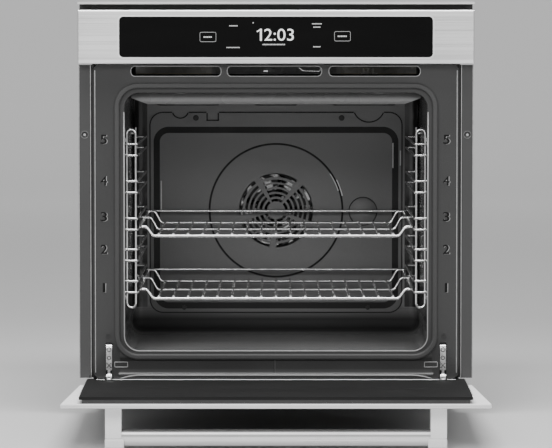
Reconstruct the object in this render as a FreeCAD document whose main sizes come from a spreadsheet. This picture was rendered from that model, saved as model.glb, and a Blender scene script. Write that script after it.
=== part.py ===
"""Built-in wall oven: chassis, cavity, control panel, drop-down door and racks.

Millimetres.  +X is right seen from the front, +Y runs to the rear, +Z is up.
The origin is the centre of the chassis underside.  The door is drawn upright
and then turned about its hinge line to the open position.
"""
import FreeCAD, Part
import math
import os
import re

import Sketcher
from FreeCAD import Placement, Rotation, Vector

NODE_FOLDER = "parts"
SHEET = "Dimensions"

DIMENSIONS = [
    ("front_width", 595.0),
    ("overall_height", 595.0),
    ("fascia_front", -296.5),
    ("frame_front", -274.5),
    ("frame_sheet", 1.5),
    ("sheet_metal", 1.2),
    ("chassis_half", 278.0),
    ("chassis_front", -262.0),
    ("chassis_rear", 272.5),
    ("chassis_roof", 580.0),
    ("base_front", -246.0),
    ("frame_half", 275.0),
    ("frame_bottom", 26.4),
    ("frame_top", 500.5),
    ("mouth_half", 228.0),
    ("mouth_bottom", 69.0),
    ("mouth_top", 458.0),
    ("mouth_corner", 22.0),
    ("mouth_return", 6.0),
    ("frame_corner", 8.0),
    ("slot_bottom", 483.4),
    ("slot_height", 14.5),
    ("left_slot_start", -218.2),
    ("left_slot_end", -83.0),
    ("middle_slot_start", -73.1),
    ("middle_slot_end", 68.5),
    ("right_slot_start", 80.0),
    ("right_slot_end", 217.0),
    ("slot_corner", 6.2),
    ("lip_bottom", 31.0),
    ("lip_sheet", 1.4),
    ("lip_reach", 5.0),
    ("lip_half", 238.0),
    ("screw_x", 254.0),
    ("screw_height", 91.0),
    ("screw_stem", 1.6),
    ("gasket_half", 244.0),
    ("gasket_bottom", 55.0),
    ("gasket_top", 473.0),
    ("gasket_corner", 36.0),
    ("gasket_band", 8.5),
    ("gasket_depth", 5.7),
    ("stile_inner", 280.0),
    ("stile_bottom", 27.0),
    ("stile_front", -273.7),
    ("stile_return", 11.0),
    ("stile_hole_x", 288.5),
    ("stile_hole_z", 395.0),
    ("stile_hole_radius", 3.2),
    ("cavity_half", 232.0),
    ("cavity_floor", 65.0),
    ("cavity_ceiling", 462.0),
    ("cavity_back", 158.0),
    ("cavity_corner", 16.0),
    ("cavity_bend", 14.5),
    ("fan_height", 258.0),
    ("fan_well_radius", 112.0),
    ("fan_well_depth", 42.0),
    ("shaft_radius", 4.0),
    ("shaft_clearance", 0.06),
    ("baffle_half", 204.5),
    ("baffle_bottom", 92.0),
    ("baffle_top", 417.0),
    ("baffle_front", 154.6),
    ("baffle_sheet", 2.4),
    ("panel_half", 189.0),
    ("panel_bottom", 108.0),
    ("panel_top", 384.0),
    ("emboss_width", 11.0),
    ("emboss_depth", 1.3),
    ("ring_mark_radius", 108.5),
    ("grille_outer", 63.5),
    ("lamp_x", 142.0),
    ("lamp_z", 256.5),
    ("lamp_radius", 21.8),
    ("lens_rise", 5.0),
    ("fascia_bottom", 501.7),
    ("fascia_top", 582.8),
    ("fascia_depth", 24.0),
    ("fascia_sheet", 1.5),
    ("glass_half", 235.0),
    ("glass_bottom", 512.1),
    ("glass_top", 572.5),
    ("glass_corner", 6.0),
    ("glass_sheet", 3.0),
    ("trim_bottom", 591.4),
    ("trim_depth", 42.0),
    ("hinge_y", -276.9),
    ("hinge_z", 29.0),
    ("hinge_x", 252.5),
    ("hinge_arm", 4.0),
    ("claw_width", 8.6),
    ("claw_bottom", 39.0),
    ("crown_height", 71.0),
    ("crown_radius", 8.6),
    ("arm_slot_half", 4.9),
    ("arm_slot_top", 80.6),
    ("hinge_eye", 5.0),
    ("hinge_pin", 2.5),
    ("pin_clearance", 0.05),
    ("door_open", 87.25),
    ("door_bottom", 7.0),
    ("door_top", 498.2),
    ("door_tray", 5.3),
    ("door_sheet", 1.2),
    ("door_edge", 3.0),
    ("window_half", 246.0),
    ("window_bottom", 52.0),
    ("window_top", 408.0),
    ("pane_front", -284.5),
    ("pane_sheet", 4.0),
    ("pane_bottom", 12.0),
    ("pane_top", 491.0),
    ("pane_half_bottom", 286.0),
    ("pane_half_top", 272.5),
    ("handle_z", 448.0),
    ("handle_reach", 57.5),
    ("finger_gap", 31.0),
    ("bar_depth", 23.5),
    ("bar_width", 17.0),
    ("bracket_inner", 215.0),
    ("bracket_outer", 237.5),
    ("bracket_width", 26.0),
    ("bracket_reach", 44.0),
    ("cap_overlap", 3.5),
    ("cap_rise", 0.4),
    ("cap_clearance", 0.02),
    ("rack_front", -232.5),
    ("rack_middle", -52.0),
    ("rack_rear", 128.0),
    ("rack_stop", 140.0),
    ("rack_rail_x", 208.5),
    ("rack_step_top", 197.0),
    ("rack_step_foot", 186.5),
    ("rack_drop", 14.2),
    ("rack_stop_rise", 4.3),
    ("rack_rod", 2.5),
    ("rack_cross", 2.2),
    ("rack_wire", 1.75),
    ("rack_wire_count", 17.0),
    ("rack_pitch", 22.3),
    ("rack_overhang", 1.6),
    ("rack_bend", 6.6),
    ("rack_stop_bend", 6.0),
    ("guide_x", 210.5),
    ("guide_wire", 2.0),
    ("guide_gap", 17.2),
    ("loop_inner", 213.5),
    ("loop_outer", 227.0),
    ("loop_front", -234.5),
    ("loop_rear", 110.0),
    ("loop_top", 401.7),
    ("loop_bottom", 130.6),
    ("rail_lift", 4.4),
    ("blower_y", 10.0),
    ("blower_z", 532.0),
    ("blower_half", 95.0),
    ("blower_radius", 26.0),
    ("duct_bottom", 482.0),
    ("duct_top", 500.0),
    ("duct_half", 222.0),
    ("inlet_x", -205.0),
    ("inlet_z", 560.0),
    ("inlet_bore", 8.0),
    ("pan_flange_setback", 8.0),
    ("pan_flange_end", 3.0),
    ("pan_flange_height", 14.0),
    ("pan_rib_half", 200.0),
    ("pan_rib_front", -60.0),
    ("pan_rib_rear", -40.0),
    ("pan_rib_height", 4.0),
    ("post_half", 4.0),
    ("post_front", -51.0),
    ("post_rear", -49.0),
    ("post_drop", 14.4),
    ("louvre_bottom", 500.0),
    ("louvre_pitch", 11.0),
    ("louvre_front", 120.0),
    ("louvre_rear", 220.0),
    ("louvre_height", 5.0),
    ("roof_vent_first", -105.0),
    ("roof_vent_pitch", 30.0),
    ("roof_vent_width", 18.0),
    ("roof_vent_front", 180.0),
    ("roof_vent_rear", 250.0),
    ("vent_corner", 4.0),
    ("back_inset", 1.5),
    ("back_vent_first", -90.0),
    ("back_vent_pitch", 22.0),
    ("back_vent_width", 9.0),
    ("back_vent_bottom", 225.0),
    ("back_vent_top", 290.0),
    ("wool_half", 262.0),
    ("wool_rear", 199.0),
    ("wool_top", 481.0),
    ("wool_gap", 1.6),
    ("wool_lead_bore", 9.0),
    ("probe_x", -200.0),
    ("lead_z", 440.0),
    ("probe_radius", 3.0),
    ("probe_collar_radius", 6.0),
    ("probe_length", 95.0),
    ("probe_reach", 60.0),
    ("ring_radius", 92.0),
    ("ring_wire", 3.2),
    ("ring_setback", 26.0),
    ("ring_lead_x", 14.0),
    ("ring_lead_bore", 4.0),
    ("ring_lead_wire", 2.6),
    ("ring_lead_length", 60.0),
    ("grill_lead_x", 60.0),
    ("grill_lead_bore", 4.2),
    ("element_wire", 3.3),
    ("element_bend", 14.0),
    ("grill_drop", 22.0),
    ("bake_drop", 11.0),
    ("baffle_corner", 20.0),
    ("panel_corner", 14.0),
    ("cutout_x", 150.0),
    ("cutout_radius", 9.0),
    ("cutout_height", 9.0),
    ("ear_half", 15.0),
    ("ear_width", 10.0),
    ("stud_radius", 3.5),
    ("upper_stud", 386.0),
    ("lower_stud", 146.0),
    ("bulb_radius", 11.0),
    ("bulb_stem_radius", 8.0),
    ("bulb_stem_length", 18.0),
    ("cup_depth", 44.0),
    ("hub_radius", 9.0),
    ("disc_radius", 58.0),
    ("disc_sheet", 1.4),
    ("blade_length", 49.0),
    ("blade_width", 15.0),
    ("blade_sheet", 1.2),
    ("nut_radius", 7.0),
    ("nut_height", 5.0),
    ("motor_radius", 33.0),
    ("motor_length", 50.0),
    ("motor_flange_half", 52.0),
    ("motor_flange_rise", 14.0),
    ("display_half", 46.0),
    ("display_bottom", 527.0),
    ("display_top", 563.0),
    ("display_depth", 6.5),
    ("board_half", 215.0),
    ("board_front", -286.6),
    ("board_rear", -285.0),
    ("board_bottom", 515.0),
    ("board_top", 570.0),
    ("part_bottom", 520.0),
    ("part_rear", -276.0),
    ("blower_front", 44.0),
    ("blower_top", 578.0),
    ("blower_room", 9.0),
    ("impeller_shaft", 3.0),
    ("impeller_disc", 2.0),
    ("impeller_blade_width", 7.0),
    ("impeller_blade_sheet", 0.9),
    ("blower_motor_radius", 24.0),
    ("blower_motor_length", 34.0),
    ("motor_air_gap", 6.3),
    ("terminal_start", 25.0),
    ("terminal_end", 95.0),
    ("terminal_bottom", 545.0),
    ("terminal_top", 561.0),
    ("terminal_depth", 31.2),
    ("terminal_bore", 5.0),
    ("terminal_first", 38.0),
    ("terminal_pitch", 22.0),
    ("channel_front", -295.0),
    ("channel_rear", -285.2),
    ("channel_bottom", 23.0),
    ("channel_top", 190.0),
    ("channel_half", 4.1),
    ("channel_slot_half", 5.0),
    ("channel_slot_top", 195.0),
    ("spring_length", 99.0),
    ("spring_pitch", 4.5),
    ("spring_radius", 1.35),
    ("spring_y", -291.2),
    ("spring_bottom", 80.0),
    ("inner_window_half", 235.0),
    ("inner_window_bottom", 70.0),
    ("inner_window_top", 440.0),
    ("inner_window_corner", 20.0),
    ("notch_near", 247.0),
    ("notch_far", 258.0),
    ("notch_top", 46.0),
    ("pane_corner", 6.0),
    ("rail_outer", 268.0),
    ("rail_inner", 261.0),
    ("bar_round", 8.0),
    ("socket_run", 5.0),
]

# Height of the lower wire of each pair of shelf guides, level 5 first.
GUIDE_LEVELS = (362.5, 306.0, 249.3, 202.0, 153.9)
UPPER_LEVEL = 2
LOWER_LEVEL = 4

doc = FreeCAD.newDocument("WallOven")
sheet = doc.addObject("Spreadsheet::Sheet", SHEET)
for row, (alias, size) in enumerate(DIMENSIONS, start=1):
    sheet.set("A%d" % row, alias.replace("_", " "))
    sheet.set("B%d" % row, str(size))
    sheet.setAlias("B%d" % row, alias)
doc.recompute()

ALIASES = {alias for alias, size in DIMENSIONS}
nodes = []


# ---------------------------------------------------------------- helpers

def size_of(alias):
    """Value of one driving dimension, as the sheet holds it."""
    return float(sheet.get(alias))


def formula(text):
    """Turn words of the sheet into references that an expression can read."""
    def qualify(match):
        word = match.group(0)
        return "%s.%s" % (SHEET, word) if word in ALIASES else word
    return re.sub(r"[a-z_]+", qualify, str(text))


def bind(item, prop, text):
    item.setExpression(prop, formula(text))


def move_to(item, corner):
    for letter, text in zip("xyz", corner):
        bind(item, "Placement.Base." + letter, text)


def publish(item, label):
    """Name the finished sub-part; its label is its file name."""
    item.Label = label
    nodes.append(item)
    return item


def block(name, low, high):
    """Box between two corners, given as texts of the sheet's words."""
    box = doc.addObject("Part::Box", name)
    for prop, near, far in zip(("Length", "Width", "Height"), low, high):
        bind(box, prop, "(%s) - (%s)" % (far, near))
    move_to(box, low)
    return box


TURN = {
    "X": Rotation(Vector(0, 1, 0), 90),
    "Y": Rotation(Vector(1, 0, 0), -90),
    "Z": Rotation(),
}


def rod(name, axis, start, radius, length):
    """Round bar that starts at a point and runs along +X, +Y or +Z."""
    bar = doc.addObject("Part::Cylinder", name)
    bar.Placement = Placement(Vector(), TURN[axis])
    bind(bar, "Radius", radius)
    bind(bar, "Height", length)
    move_to(bar, start)
    return bar


def join(name, pieces):
    fused = doc.addObject("Part::MultiFuse", name)
    fused.Shapes = pieces
    fused.Refine = True
    return fused


def group(name, pieces):
    """Separate solids kept together in one node."""
    bundle = doc.addObject("Part::Compound", name)
    bundle.Links = pieces
    return bundle


def carve(name, solid, tools):
    result = doc.addObject("Part::Cut", name)
    result.Base = solid
    result.Tool = tools[0] if len(tools) == 1 else group(name + "_tools", tools)
    result.Refine = True
    return result


def new_body(name):
    return doc.addObject("PartDesign::Body", name)


def plane_of(body, role):
    return [item for item in body.Origin.OriginFeatures if item.Role == role][0]


def new_sketch(body, role, name, offset="0"):
    """Sketch on one of the body's own planes, lifted by offset along its normal."""
    sketch = body.newObject("Sketcher::SketchObject", name)
    sketch.AttachmentSupport = [(plane_of(body, role), "")]
    sketch.MapMode = "FlatFace"
    bind(sketch, "AttachmentOffset.Base.z", offset)
    return sketch


def value_of(text):
    """Number that a text of the sheet's words stands for now."""
    words = {alias: size_of(alias) for alias in ALIASES if alias in str(text)}
    total = str(text)
    for word in sorted(words, key=len, reverse=True):
        total = re.sub(r"\b%s\b" % word, repr(words[word]), total)
    return FreeCAD.Units.Quantity(total.replace("--", "+")).Value if total else 0.0


def fix(sketch, kind, where, text):
    """Driving constraint whose value follows the sheet."""
    index = sketch.addConstraint(Sketcher.Constraint(kind, *where, value_of(text)))
    bind(sketch, "Constraints[%d]" % index, text)


def relate(sketch, kind, *where):
    sketch.addConstraint(Sketcher.Constraint(kind, *where))


def rounded_outline(sketch, left, right, low, high, radius):
    """Rectangle with round corners, its four sides and radius driven."""
    x0, x1, y0, y1, r = [value_of(text) for text in (left, right, low, high, radius)]
    corners = ((x1 - r, y0 + r, -90), (x1 - r, y1 - r, 0), (x0 + r, y1 - r, 90), (x0 + r, y0 + r, 180))
    sides = (
        (Vector(x0 + r, y0, 0), Vector(x1 - r, y0, 0)),
        (Vector(x1, y0 + r, 0), Vector(x1, y1 - r, 0)),
        (Vector(x1 - r, y1, 0), Vector(x0 + r, y1, 0)),
        (Vector(x0, y1 - r, 0), Vector(x0, y0 + r, 0)),
    )
    first = None
    for (start, end), (cx, cy, turn) in zip(sides, corners):
        line = sketch.addGeometry(Part.LineSegment(start, end), False)
        ring = Part.Circle(Vector(cx, cy, 0), Vector(0, 0, 1), r)
        arc = Part.ArcOfCircle(ring, math.radians(turn), math.radians(turn + 90))
        sketch.addGeometry(arc, False)
        first = line if first is None else first
    for side in range(4):
        line = first + 2 * side
        relate(sketch, "Tangent", line, 2, line + 1, 1)
        relate(sketch, "Tangent", line + 1, 2, first + (2 * side + 2) % 8, 1)
        relate(sketch, "Horizontal" if side % 2 == 0 else "Vertical", line)
        if side:
            relate(sketch, "Equal", first + 1, line + 1)
    fix(sketch, "DistanceY", (-1, 1, first, 1), low)
    fix(sketch, "DistanceX", (-1, 1, first + 2, 1), right)
    fix(sketch, "DistanceY", (-1, 1, first + 4, 1), high)
    fix(sketch, "DistanceX", (-1, 1, first + 6, 1), left)
    fix(sketch, "Radius", (first + 1,), radius)


def plain_outline(sketch, left, right, low, high):
    """Rectangle with square corners, its four sides driven."""
    x0, x1, y0, y1 = [value_of(text) for text in (left, right, low, high)]
    points = [Vector(x0, y0, 0), Vector(x1, y0, 0), Vector(x1, y1, 0), Vector(x0, y1, 0)]
    first = None
    for start, end in zip(points, points[1:] + points[:1]):
        line = sketch.addGeometry(Part.LineSegment(start, end), False)
        first = line if first is None else first
    for side in range(4):
        relate(sketch, "Coincident", first + side, 2, first + (side + 1) % 4, 1)
        relate(sketch, "Horizontal" if side % 2 == 0 else "Vertical", first + side)
    fix(sketch, "DistanceY", (-1, 1, first, 1), low)
    fix(sketch, "DistanceX", (-1, 1, first + 1, 1), right)
    fix(sketch, "DistanceY", (-1, 1, first + 2, 1), high)
    fix(sketch, "DistanceX", (-1, 1, first + 3, 1), left)


def round_outline(sketch, x, y, radius):
    cx, cy, r = value_of(x), value_of(y), value_of(radius)
    ring = sketch.addGeometry(Part.Circle(Vector(cx, cy, 0), Vector(0, 0, 1), r), False)
    fix(sketch, "DistanceX", (-1, 1, ring, 3), x)
    fix(sketch, "DistanceY", (-1, 1, ring, 3), y)
    fix(sketch, "Radius", (ring,), radius)


def pad(body, sketch, length, backwards=False):
    feature = body.newObject("PartDesign::Pad", sketch.Name + "_pad")
    feature.Profile = sketch
    bind(feature, "Length", length)
    feature.Reversed = backwards
    return feature


def pocket(body, sketch, length, backwards=False):
    feature = body.newObject("PartDesign::Pocket", sketch.Name + "_pocket")
    feature.Profile = sketch
    bind(feature, "Length", length)
    feature.Reversed = backwards
    return feature


def edges_where(feature, test):
    """Names of the edges of a feature whose centre passes a test."""
    doc.recompute()
    found = []
    for number, edge in enumerate(feature.Shape.Edges, start=1):
        if test(edge.CenterOfMass, edge):
            found.append("Edge%d" % number)
    if not found:
        raise RuntimeError("no edge of %s passes the test" % feature.Name)
    return found


def soften(body, feature, radius, test):
    fillet = body.newObject("PartDesign::Fillet", feature.Name + "_fillet")
    fillet.Base = (feature, edges_where(feature, test))
    bind(fillet, "Radius", radius)
    return fillet


def near(number, target, slack=0.05):
    return abs(number - target) < slack


def bent_wire(points, radius, bend):
    """Round wire through corner points, each corner turned at one bend radius."""
    corners = [Vector(*point) for point in points]
    edges = []
    start = corners[0]
    for before, here, after in zip(corners, corners[1:], corners[2:]):
        come = (here - before).normalize()
        leave = (after - here).normalize()
        half_turn = come.getAngle(leave) / 2
        setback = bend * math.tan(half_turn)
        enter = here - come * setback
        finish = here + leave * setback
        inward = (leave - come).normalize()
        middle = here + inward * (bend / math.cos(half_turn) - bend)
        edges.append(Part.LineSegment(start, enter).toShape())
        edges.append(Part.Arc(enter, middle, finish).toShape())
        start = finish
    edges.append(Part.LineSegment(start, corners[-1]).toShape())
    ring = Part.Circle(corners[0], corners[1] - corners[0], radius).toShape()
    return Part.Wire(edges).makePipeShell([Part.Wire([ring])], True, False)


def shape_node(label, shape, placement=None):
    """Sub-part whose outline no primitive or body feature makes."""
    feature = doc.addObject("Part::Feature", label)
    feature.Shape = shape
    if placement is not None:
        feature.Placement = placement
    return publish(feature, label)


def door_placement():
    """Turn that carries an upright door part to the open position."""
    hinge = Vector(0, size_of("hinge_y"), size_of("hinge_z"))
    return Placement(Vector(), Rotation(Vector(1, 0, 0), size_of("door_open")), hinge)


def door_part(item, label):
    item.Placement = door_placement()
    return publish(item, label)


# ---------------------------------------------------------------- chassis

def build_chassis_base():
    pan = block("pan", ("-chassis_half", "base_front", "0"), ("chassis_half", "chassis_rear", "sheet_metal"))
    pieces = [pan]
    for side, low, high in (
        ("left", "-chassis_half + sheet_metal", "-chassis_half + 2 * sheet_metal"),
        ("right", "chassis_half - 2 * sheet_metal", "chassis_half - sheet_metal"),
    ):
        pieces.append(block("pan_flange_" + side, (low, "base_front + pan_flange_setback", "0"),
                            (high, "chassis_rear - pan_flange_end", "pan_flange_height")))
    pieces.append(block("pan_rib", ("-pan_rib_half", "pan_rib_front", "0"),
                        ("pan_rib_half", "pan_rib_rear", "pan_rib_height")))
    for number, x in enumerate(("-180", "-60", "60", "180")):
        pieces.append(block("element_post_%d" % number, (x + " - post_half", "post_front", "1"),
                            (x + " + post_half", "post_rear", "cavity_floor - post_drop")))
    publish(join("chassis_base", pieces), "chassis_base")


def build_chassis_sides():
    for name, low, high in (
        ("left", "-chassis_half", "-chassis_half + sheet_metal"),
        ("right", "chassis_half - sheet_metal", "chassis_half"),
    ):
        wall = block("wall_" + name, (low, "chassis_front", "sheet_metal"),
                     (high, "chassis_rear - back_inset", "chassis_roof"))
        tools = [block("door_recess_" + name, (low + " - 5", "chassis_front - 5", "-5"),
                       (high + " + 5", "base_front", "stile_bottom + 3"))]
        for louvre in range(6):
            height = "louvre_bottom + %d * louvre_pitch" % louvre
            tools.append(block("louvre_%s_%d" % (name, louvre), (low + " - 5", "louvre_front", height),
                               (high + " + 5", "louvre_rear", height + " + louvre_height")))
        publish(carve("chassis_side_" + name, wall, tools), "chassis_side_" + name)


def build_chassis_top():
    body = new_body("chassis_top")
    outline = new_sketch(body, "XY_Plane", "roof_outline", "chassis_roof")
    plain_outline(outline, "-chassis_half", "chassis_half", "chassis_front", "chassis_rear")
    pad(body, outline, "sheet_metal")
    vents = new_sketch(body, "XY_Plane", "roof_vents", "chassis_roof + sheet_metal")
    for number in range(7):
        left = "roof_vent_first + %d * roof_vent_pitch" % number
        rounded_outline(vents, left, left + " + roof_vent_width", "roof_vent_front", "roof_vent_rear",
                        "vent_corner")
    pocket(body, vents, "sheet_metal * 2")
    publish(body, "chassis_top")


def build_chassis_back():
    body = new_body("chassis_back")
    outline = new_sketch(body, "XZ_Plane", "back_outline", "-(chassis_rear - sheet_metal)")
    plain_outline(outline, "-chassis_half + back_inset", "chassis_half - back_inset", "sheet_metal + 0.3",
                  "chassis_roof - 0.3")
    pad(body, outline, "sheet_metal", backwards=True)
    vents = new_sketch(body, "XZ_Plane", "back_vents", "-(chassis_rear - sheet_metal)")
    for number in range(9):
        left = "back_vent_first + %d * back_vent_pitch" % number
        rounded_outline(vents, left, left + " + back_vent_width", "back_vent_bottom", "back_vent_top",
                        "vent_corner")
    round_outline(vents, "inlet_x", "inlet_z", "inlet_bore + 3.1")
    pocket(body, vents, "sheet_metal * 2")
    publish(body, "chassis_back")


def build_front_frame():
    body = new_body("front_frame")
    outline = new_sketch(body, "XZ_Plane", "frame_outline", "-frame_front")
    rounded_outline(outline, "-frame_half", "frame_half", "frame_bottom", "frame_top",
                    "frame_corner")
    pad(body, outline, "frame_sheet", backwards=True)

    # Rolled return round the mouth and the gutter lip under it.
    collar = new_sketch(body, "XZ_Plane", "mouth_collar", "-frame_front")
    rounded_outline(collar, "-mouth_half - frame_sheet", "mouth_half + frame_sheet",
                    "mouth_bottom - frame_sheet", "mouth_top + frame_sheet", "mouth_corner + frame_sheet")
    pad(body, collar, "frame_sheet + mouth_return", backwards=True)
    lip = new_sketch(body, "XZ_Plane", "gutter_lip", "-frame_front - frame_sheet")
    plain_outline(lip, "-lip_half", "lip_half", "lip_bottom", "lip_bottom + lip_sheet")
    pad(body, lip, "lip_reach + frame_sheet")

    mouth = new_sketch(body, "XZ_Plane", "mouth", "-frame_front + 1")
    rounded_outline(mouth, "-mouth_half", "mouth_half", "mouth_bottom", "mouth_top", "mouth_corner")
    mouth_cut = pocket(body, mouth, "frame_sheet + mouth_return + 5")

    gutter_height = size_of("lip_bottom") + size_of("lip_sheet")
    face = size_of("frame_front")
    gutter = soften(body, mouth_cut, "4.0", lambda centre, edge: near(centre.y, face)
                    and near(centre.z, gutter_height) and edge.Length > 300)
    soften(body, gutter, "1.2", lambda centre, edge: near(centre.y, face)
                       and near(centre.z, size_of("mouth_bottom")) and near(centre.x, 0))

    openings = new_sketch(body, "XZ_Plane", "frame_openings", "-frame_front + 8")
    for place in ("left", "middle", "right"):
        rounded_outline(openings, place + "_slot_start", place + "_slot_end", "slot_bottom",
                        "slot_bottom + slot_height", "slot_corner")
    for sign in ("-", ""):
        centre = "%shinge_x" % sign
        plain_outline(openings, centre + " - arm_slot_half", centre + " + arm_slot_half", "frame_bottom - 5",
                      "arm_slot_top")
        round_outline(openings, "%sscrew_x" % sign, "screw_height", "screw_stem")
    pocket(body, openings, "20")
    publish(body, "front_frame")


def build_stiles():
    for name, sign in (("left", -1), ("right", 1)):
        def span(inner, outer):
            """X range on this side of the oven, low value first."""
            if sign > 0:
                return inner, outer
            return "-(%s)" % outer, "-(%s)" % inner
        pieces = []
        for piece, inner, outer, front, back in (
            ("face", "stile_inner", "front_width / 2", "stile_front", "stile_front + sheet_metal"),
            ("edge", "front_width / 2 - sheet_metal", "front_width / 2", "stile_front - 0.8",
             "stile_front + stile_return"),
            ("rib", "stile_inner - 1.2", "stile_inner + 0.4", "stile_front - 1", "stile_front + 7.7"),
            ("web", "frame_half + 0.3", "stile_inner", "stile_front + 6.5", "stile_front + 7.7"),
        ):
            low, high = span(inner, outer)
            pieces.append(block("stile_%s_%s" % (piece, name), (low, front, "stile_bottom"),
                                (high, back, "frame_top")))
        profile = join("stile_profile_" + name, pieces)
        hole = rod("stile_hole_" + name, "Y", ("%d * stile_hole_x" % sign, "stile_front - 5", "stile_hole_z"),
                   "stile_hole_radius", "15")
        publish(carve("mounting_stile_" + name, profile, [hole]), "mounting_stile_" + name)


def build_frame_screws():
    heads = []
    for name, sign in (("left", -1), ("right", 1)):
        x = "%d * screw_x" % sign
        head = rod("screw_head_" + name, "Y", (x, "frame_front - 1.8", "screw_height"), "3.4", "1.8")
        stem = rod("screw_stem_" + name, "Y", (x, "frame_front", "screw_height"), "screw_stem", "9")
        slot = block("screw_drive_" + name, (x + " - 2.4", "frame_front - 2.5", "screw_height - 0.4"),
                     (x + " + 2.4", "frame_front - 1", "screw_height + 0.4"))
        heads.append(carve("frame_screw_" + name, join("screw_" + name, [head, stem]), [slot]))
    publish(group("frame_screws", heads), "frame_screws")


# ---------------------------------------------------------------- cavity

def build_liner():
    """Enamelled cavity: the room inside is drawn as its own body and cut out."""
    front = "-(frame_front + frame_sheet)"
    shell = new_body("liner_shell")
    outline = new_sketch(shell, "XZ_Plane", "liner_outline", front)
    rounded_outline(outline, "-cavity_half - sheet_metal", "cavity_half + sheet_metal",
                    "cavity_floor - sheet_metal", "cavity_ceiling + sheet_metal", "cavity_corner + sheet_metal")
    solid = pad(shell, outline, "cavity_back + sheet_metal - frame_front - frame_sheet", backwards=True)
    back = size_of("cavity_back") + size_of("sheet_metal")
    soften(shell, solid, "cavity_bend + sheet_metal", lambda centre, edge: near(centre.y, back))
    well = new_sketch(shell, "XZ_Plane", "fan_well_outer", "-(cavity_back)")
    round_outline(well, "0", "fan_height", "fan_well_radius + sheet_metal")
    pad(shell, well, "fan_well_depth + sheet_metal", backwards=True)

    room = new_body("liner_room")
    inside = new_sketch(room, "XZ_Plane", "liner_inside", front + " + 2")
    rounded_outline(inside, "-cavity_half", "cavity_half", "cavity_floor", "cavity_ceiling", "cavity_corner")
    hollow = pad(room, inside, "cavity_back - frame_front - frame_sheet + 2", backwards=True)
    inner_back = size_of("cavity_back")
    soften(room, hollow, "cavity_bend", lambda centre, edge: near(centre.y, inner_back))
    recess = new_sketch(room, "XZ_Plane", "fan_well_inner", "-(cavity_back - 1)")
    round_outline(recess, "0", "fan_height", "fan_well_radius")
    pad(room, recess, "fan_well_depth + 1", backwards=True)

    holes = [room, rod("shaft_hole", "Y", ("0", "cavity_back + 10", "fan_height"), "shaft_radius + 1", "50"),
             rod("lamp_hole", "Y", ("lamp_x", "cavity_back - 5", "lamp_z"), "lamp_radius - 3", "20"),
             rod("probe_hole", "Y", ("probe_x", "cavity_back - 5", "lead_z"), "probe_radius + 0.6", "20")]
    for name, sign in (("left", -1), ("right", 1)):
        holes.append(rod("ring_lead_hole_" + name, "Y", ("%d * ring_lead_x" % sign, "cavity_back + 10",
                                                         "fan_height - ring_radius"), "ring_lead_bore", "50"))
        holes.append(rod("grill_lead_hole_" + name, "Y", ("%d * grill_lead_x" % sign, "cavity_back - 5",
                                                          "lead_z"),
                         "grill_lead_bore", "20"))
    publish(carve("cavity_liner", shell, holes), "cavity_liner")


def build_insulation():
    wool = block("wool", ("-wool_half", "chassis_front + 8", "arm_slot_top + 4"),
                 ("wool_half", "wool_rear", "wool_top"))
    room = block("wool_room", ("-cavity_half - wool_gap", "chassis_front - 5", "20"),
                 ("cavity_half + wool_gap", "cavity_back + wool_gap", "cavity_ceiling + wool_gap"))
    well = rod("wool_well", "Y", ("0", "cavity_back", "fan_height"), "fan_well_radius + 2", "60")
    lamp = rod("wool_lamp", "Y", ("lamp_x", "cavity_back", "lamp_z"), "lamp_radius + 2", "60")
    tools = [room, well, lamp]
    for name, x in (("left", "-grill_lead_x"), ("right", "grill_lead_x"), ("probe", "probe_x")):
        tools.append(rod("wool_lead_" + name, "Y", (x, "cavity_back", "lead_z"), "wool_lead_bore", "60"))
    publish(carve("insulation_wrap", wool, tools), "insulation_wrap")


def build_gasket():
    body = new_body("door_gasket")
    outline = new_sketch(body, "XZ_Plane", "gasket_outline", "-frame_front")
    rounded_outline(outline, "-gasket_half", "gasket_half", "gasket_bottom", "gasket_top", "gasket_corner")
    ring = pad(body, outline, "gasket_depth")
    inside = new_sketch(body, "XZ_Plane", "gasket_inside", "-frame_front + gasket_depth")
    rounded_outline(inside, "-gasket_half + gasket_band", "gasket_half - gasket_band",
                    "gasket_bottom + gasket_band", "gasket_top - gasket_band", "gasket_corner - gasket_band")
    cut = pocket(body, inside, "gasket_depth + 2")
    crest = size_of("frame_front") - size_of("gasket_depth")
    soften(body, cut, "2.6", lambda centre, edge: near(centre.y, crest))
    publish(body, "door_gasket")


def arc_slot(sketch, inner, outer, start, sweep):
    """Closed ring segment about the sketch's own origin."""
    first = math.radians(start)
    last = math.radians(start + sweep)
    def point(radius, angle):
        return Vector(radius * math.cos(angle), radius * math.sin(angle), 0)
    for radius in (inner, outer):
        ring = Part.Circle(Vector(), Vector(0, 0, 1), radius)
        sketch.addGeometry(Part.ArcOfCircle(ring, first, last), False)
    for angle in (first, last):
        sketch.addGeometry(Part.LineSegment(point(inner, angle), point(outer, angle)), False)


GRILLE_BANDS = ((14.8, 19.0), (22.6, 27.2), (30.5, 35.2), (38.5, 43.0), (46.0, 50.5), (54.5, 60.5))
GRILLE_SECTORS = 5
GRILLE_GAP_DEGREES = 11.0
FIRST_SPOKE_DEGREES = 49.0


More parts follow.
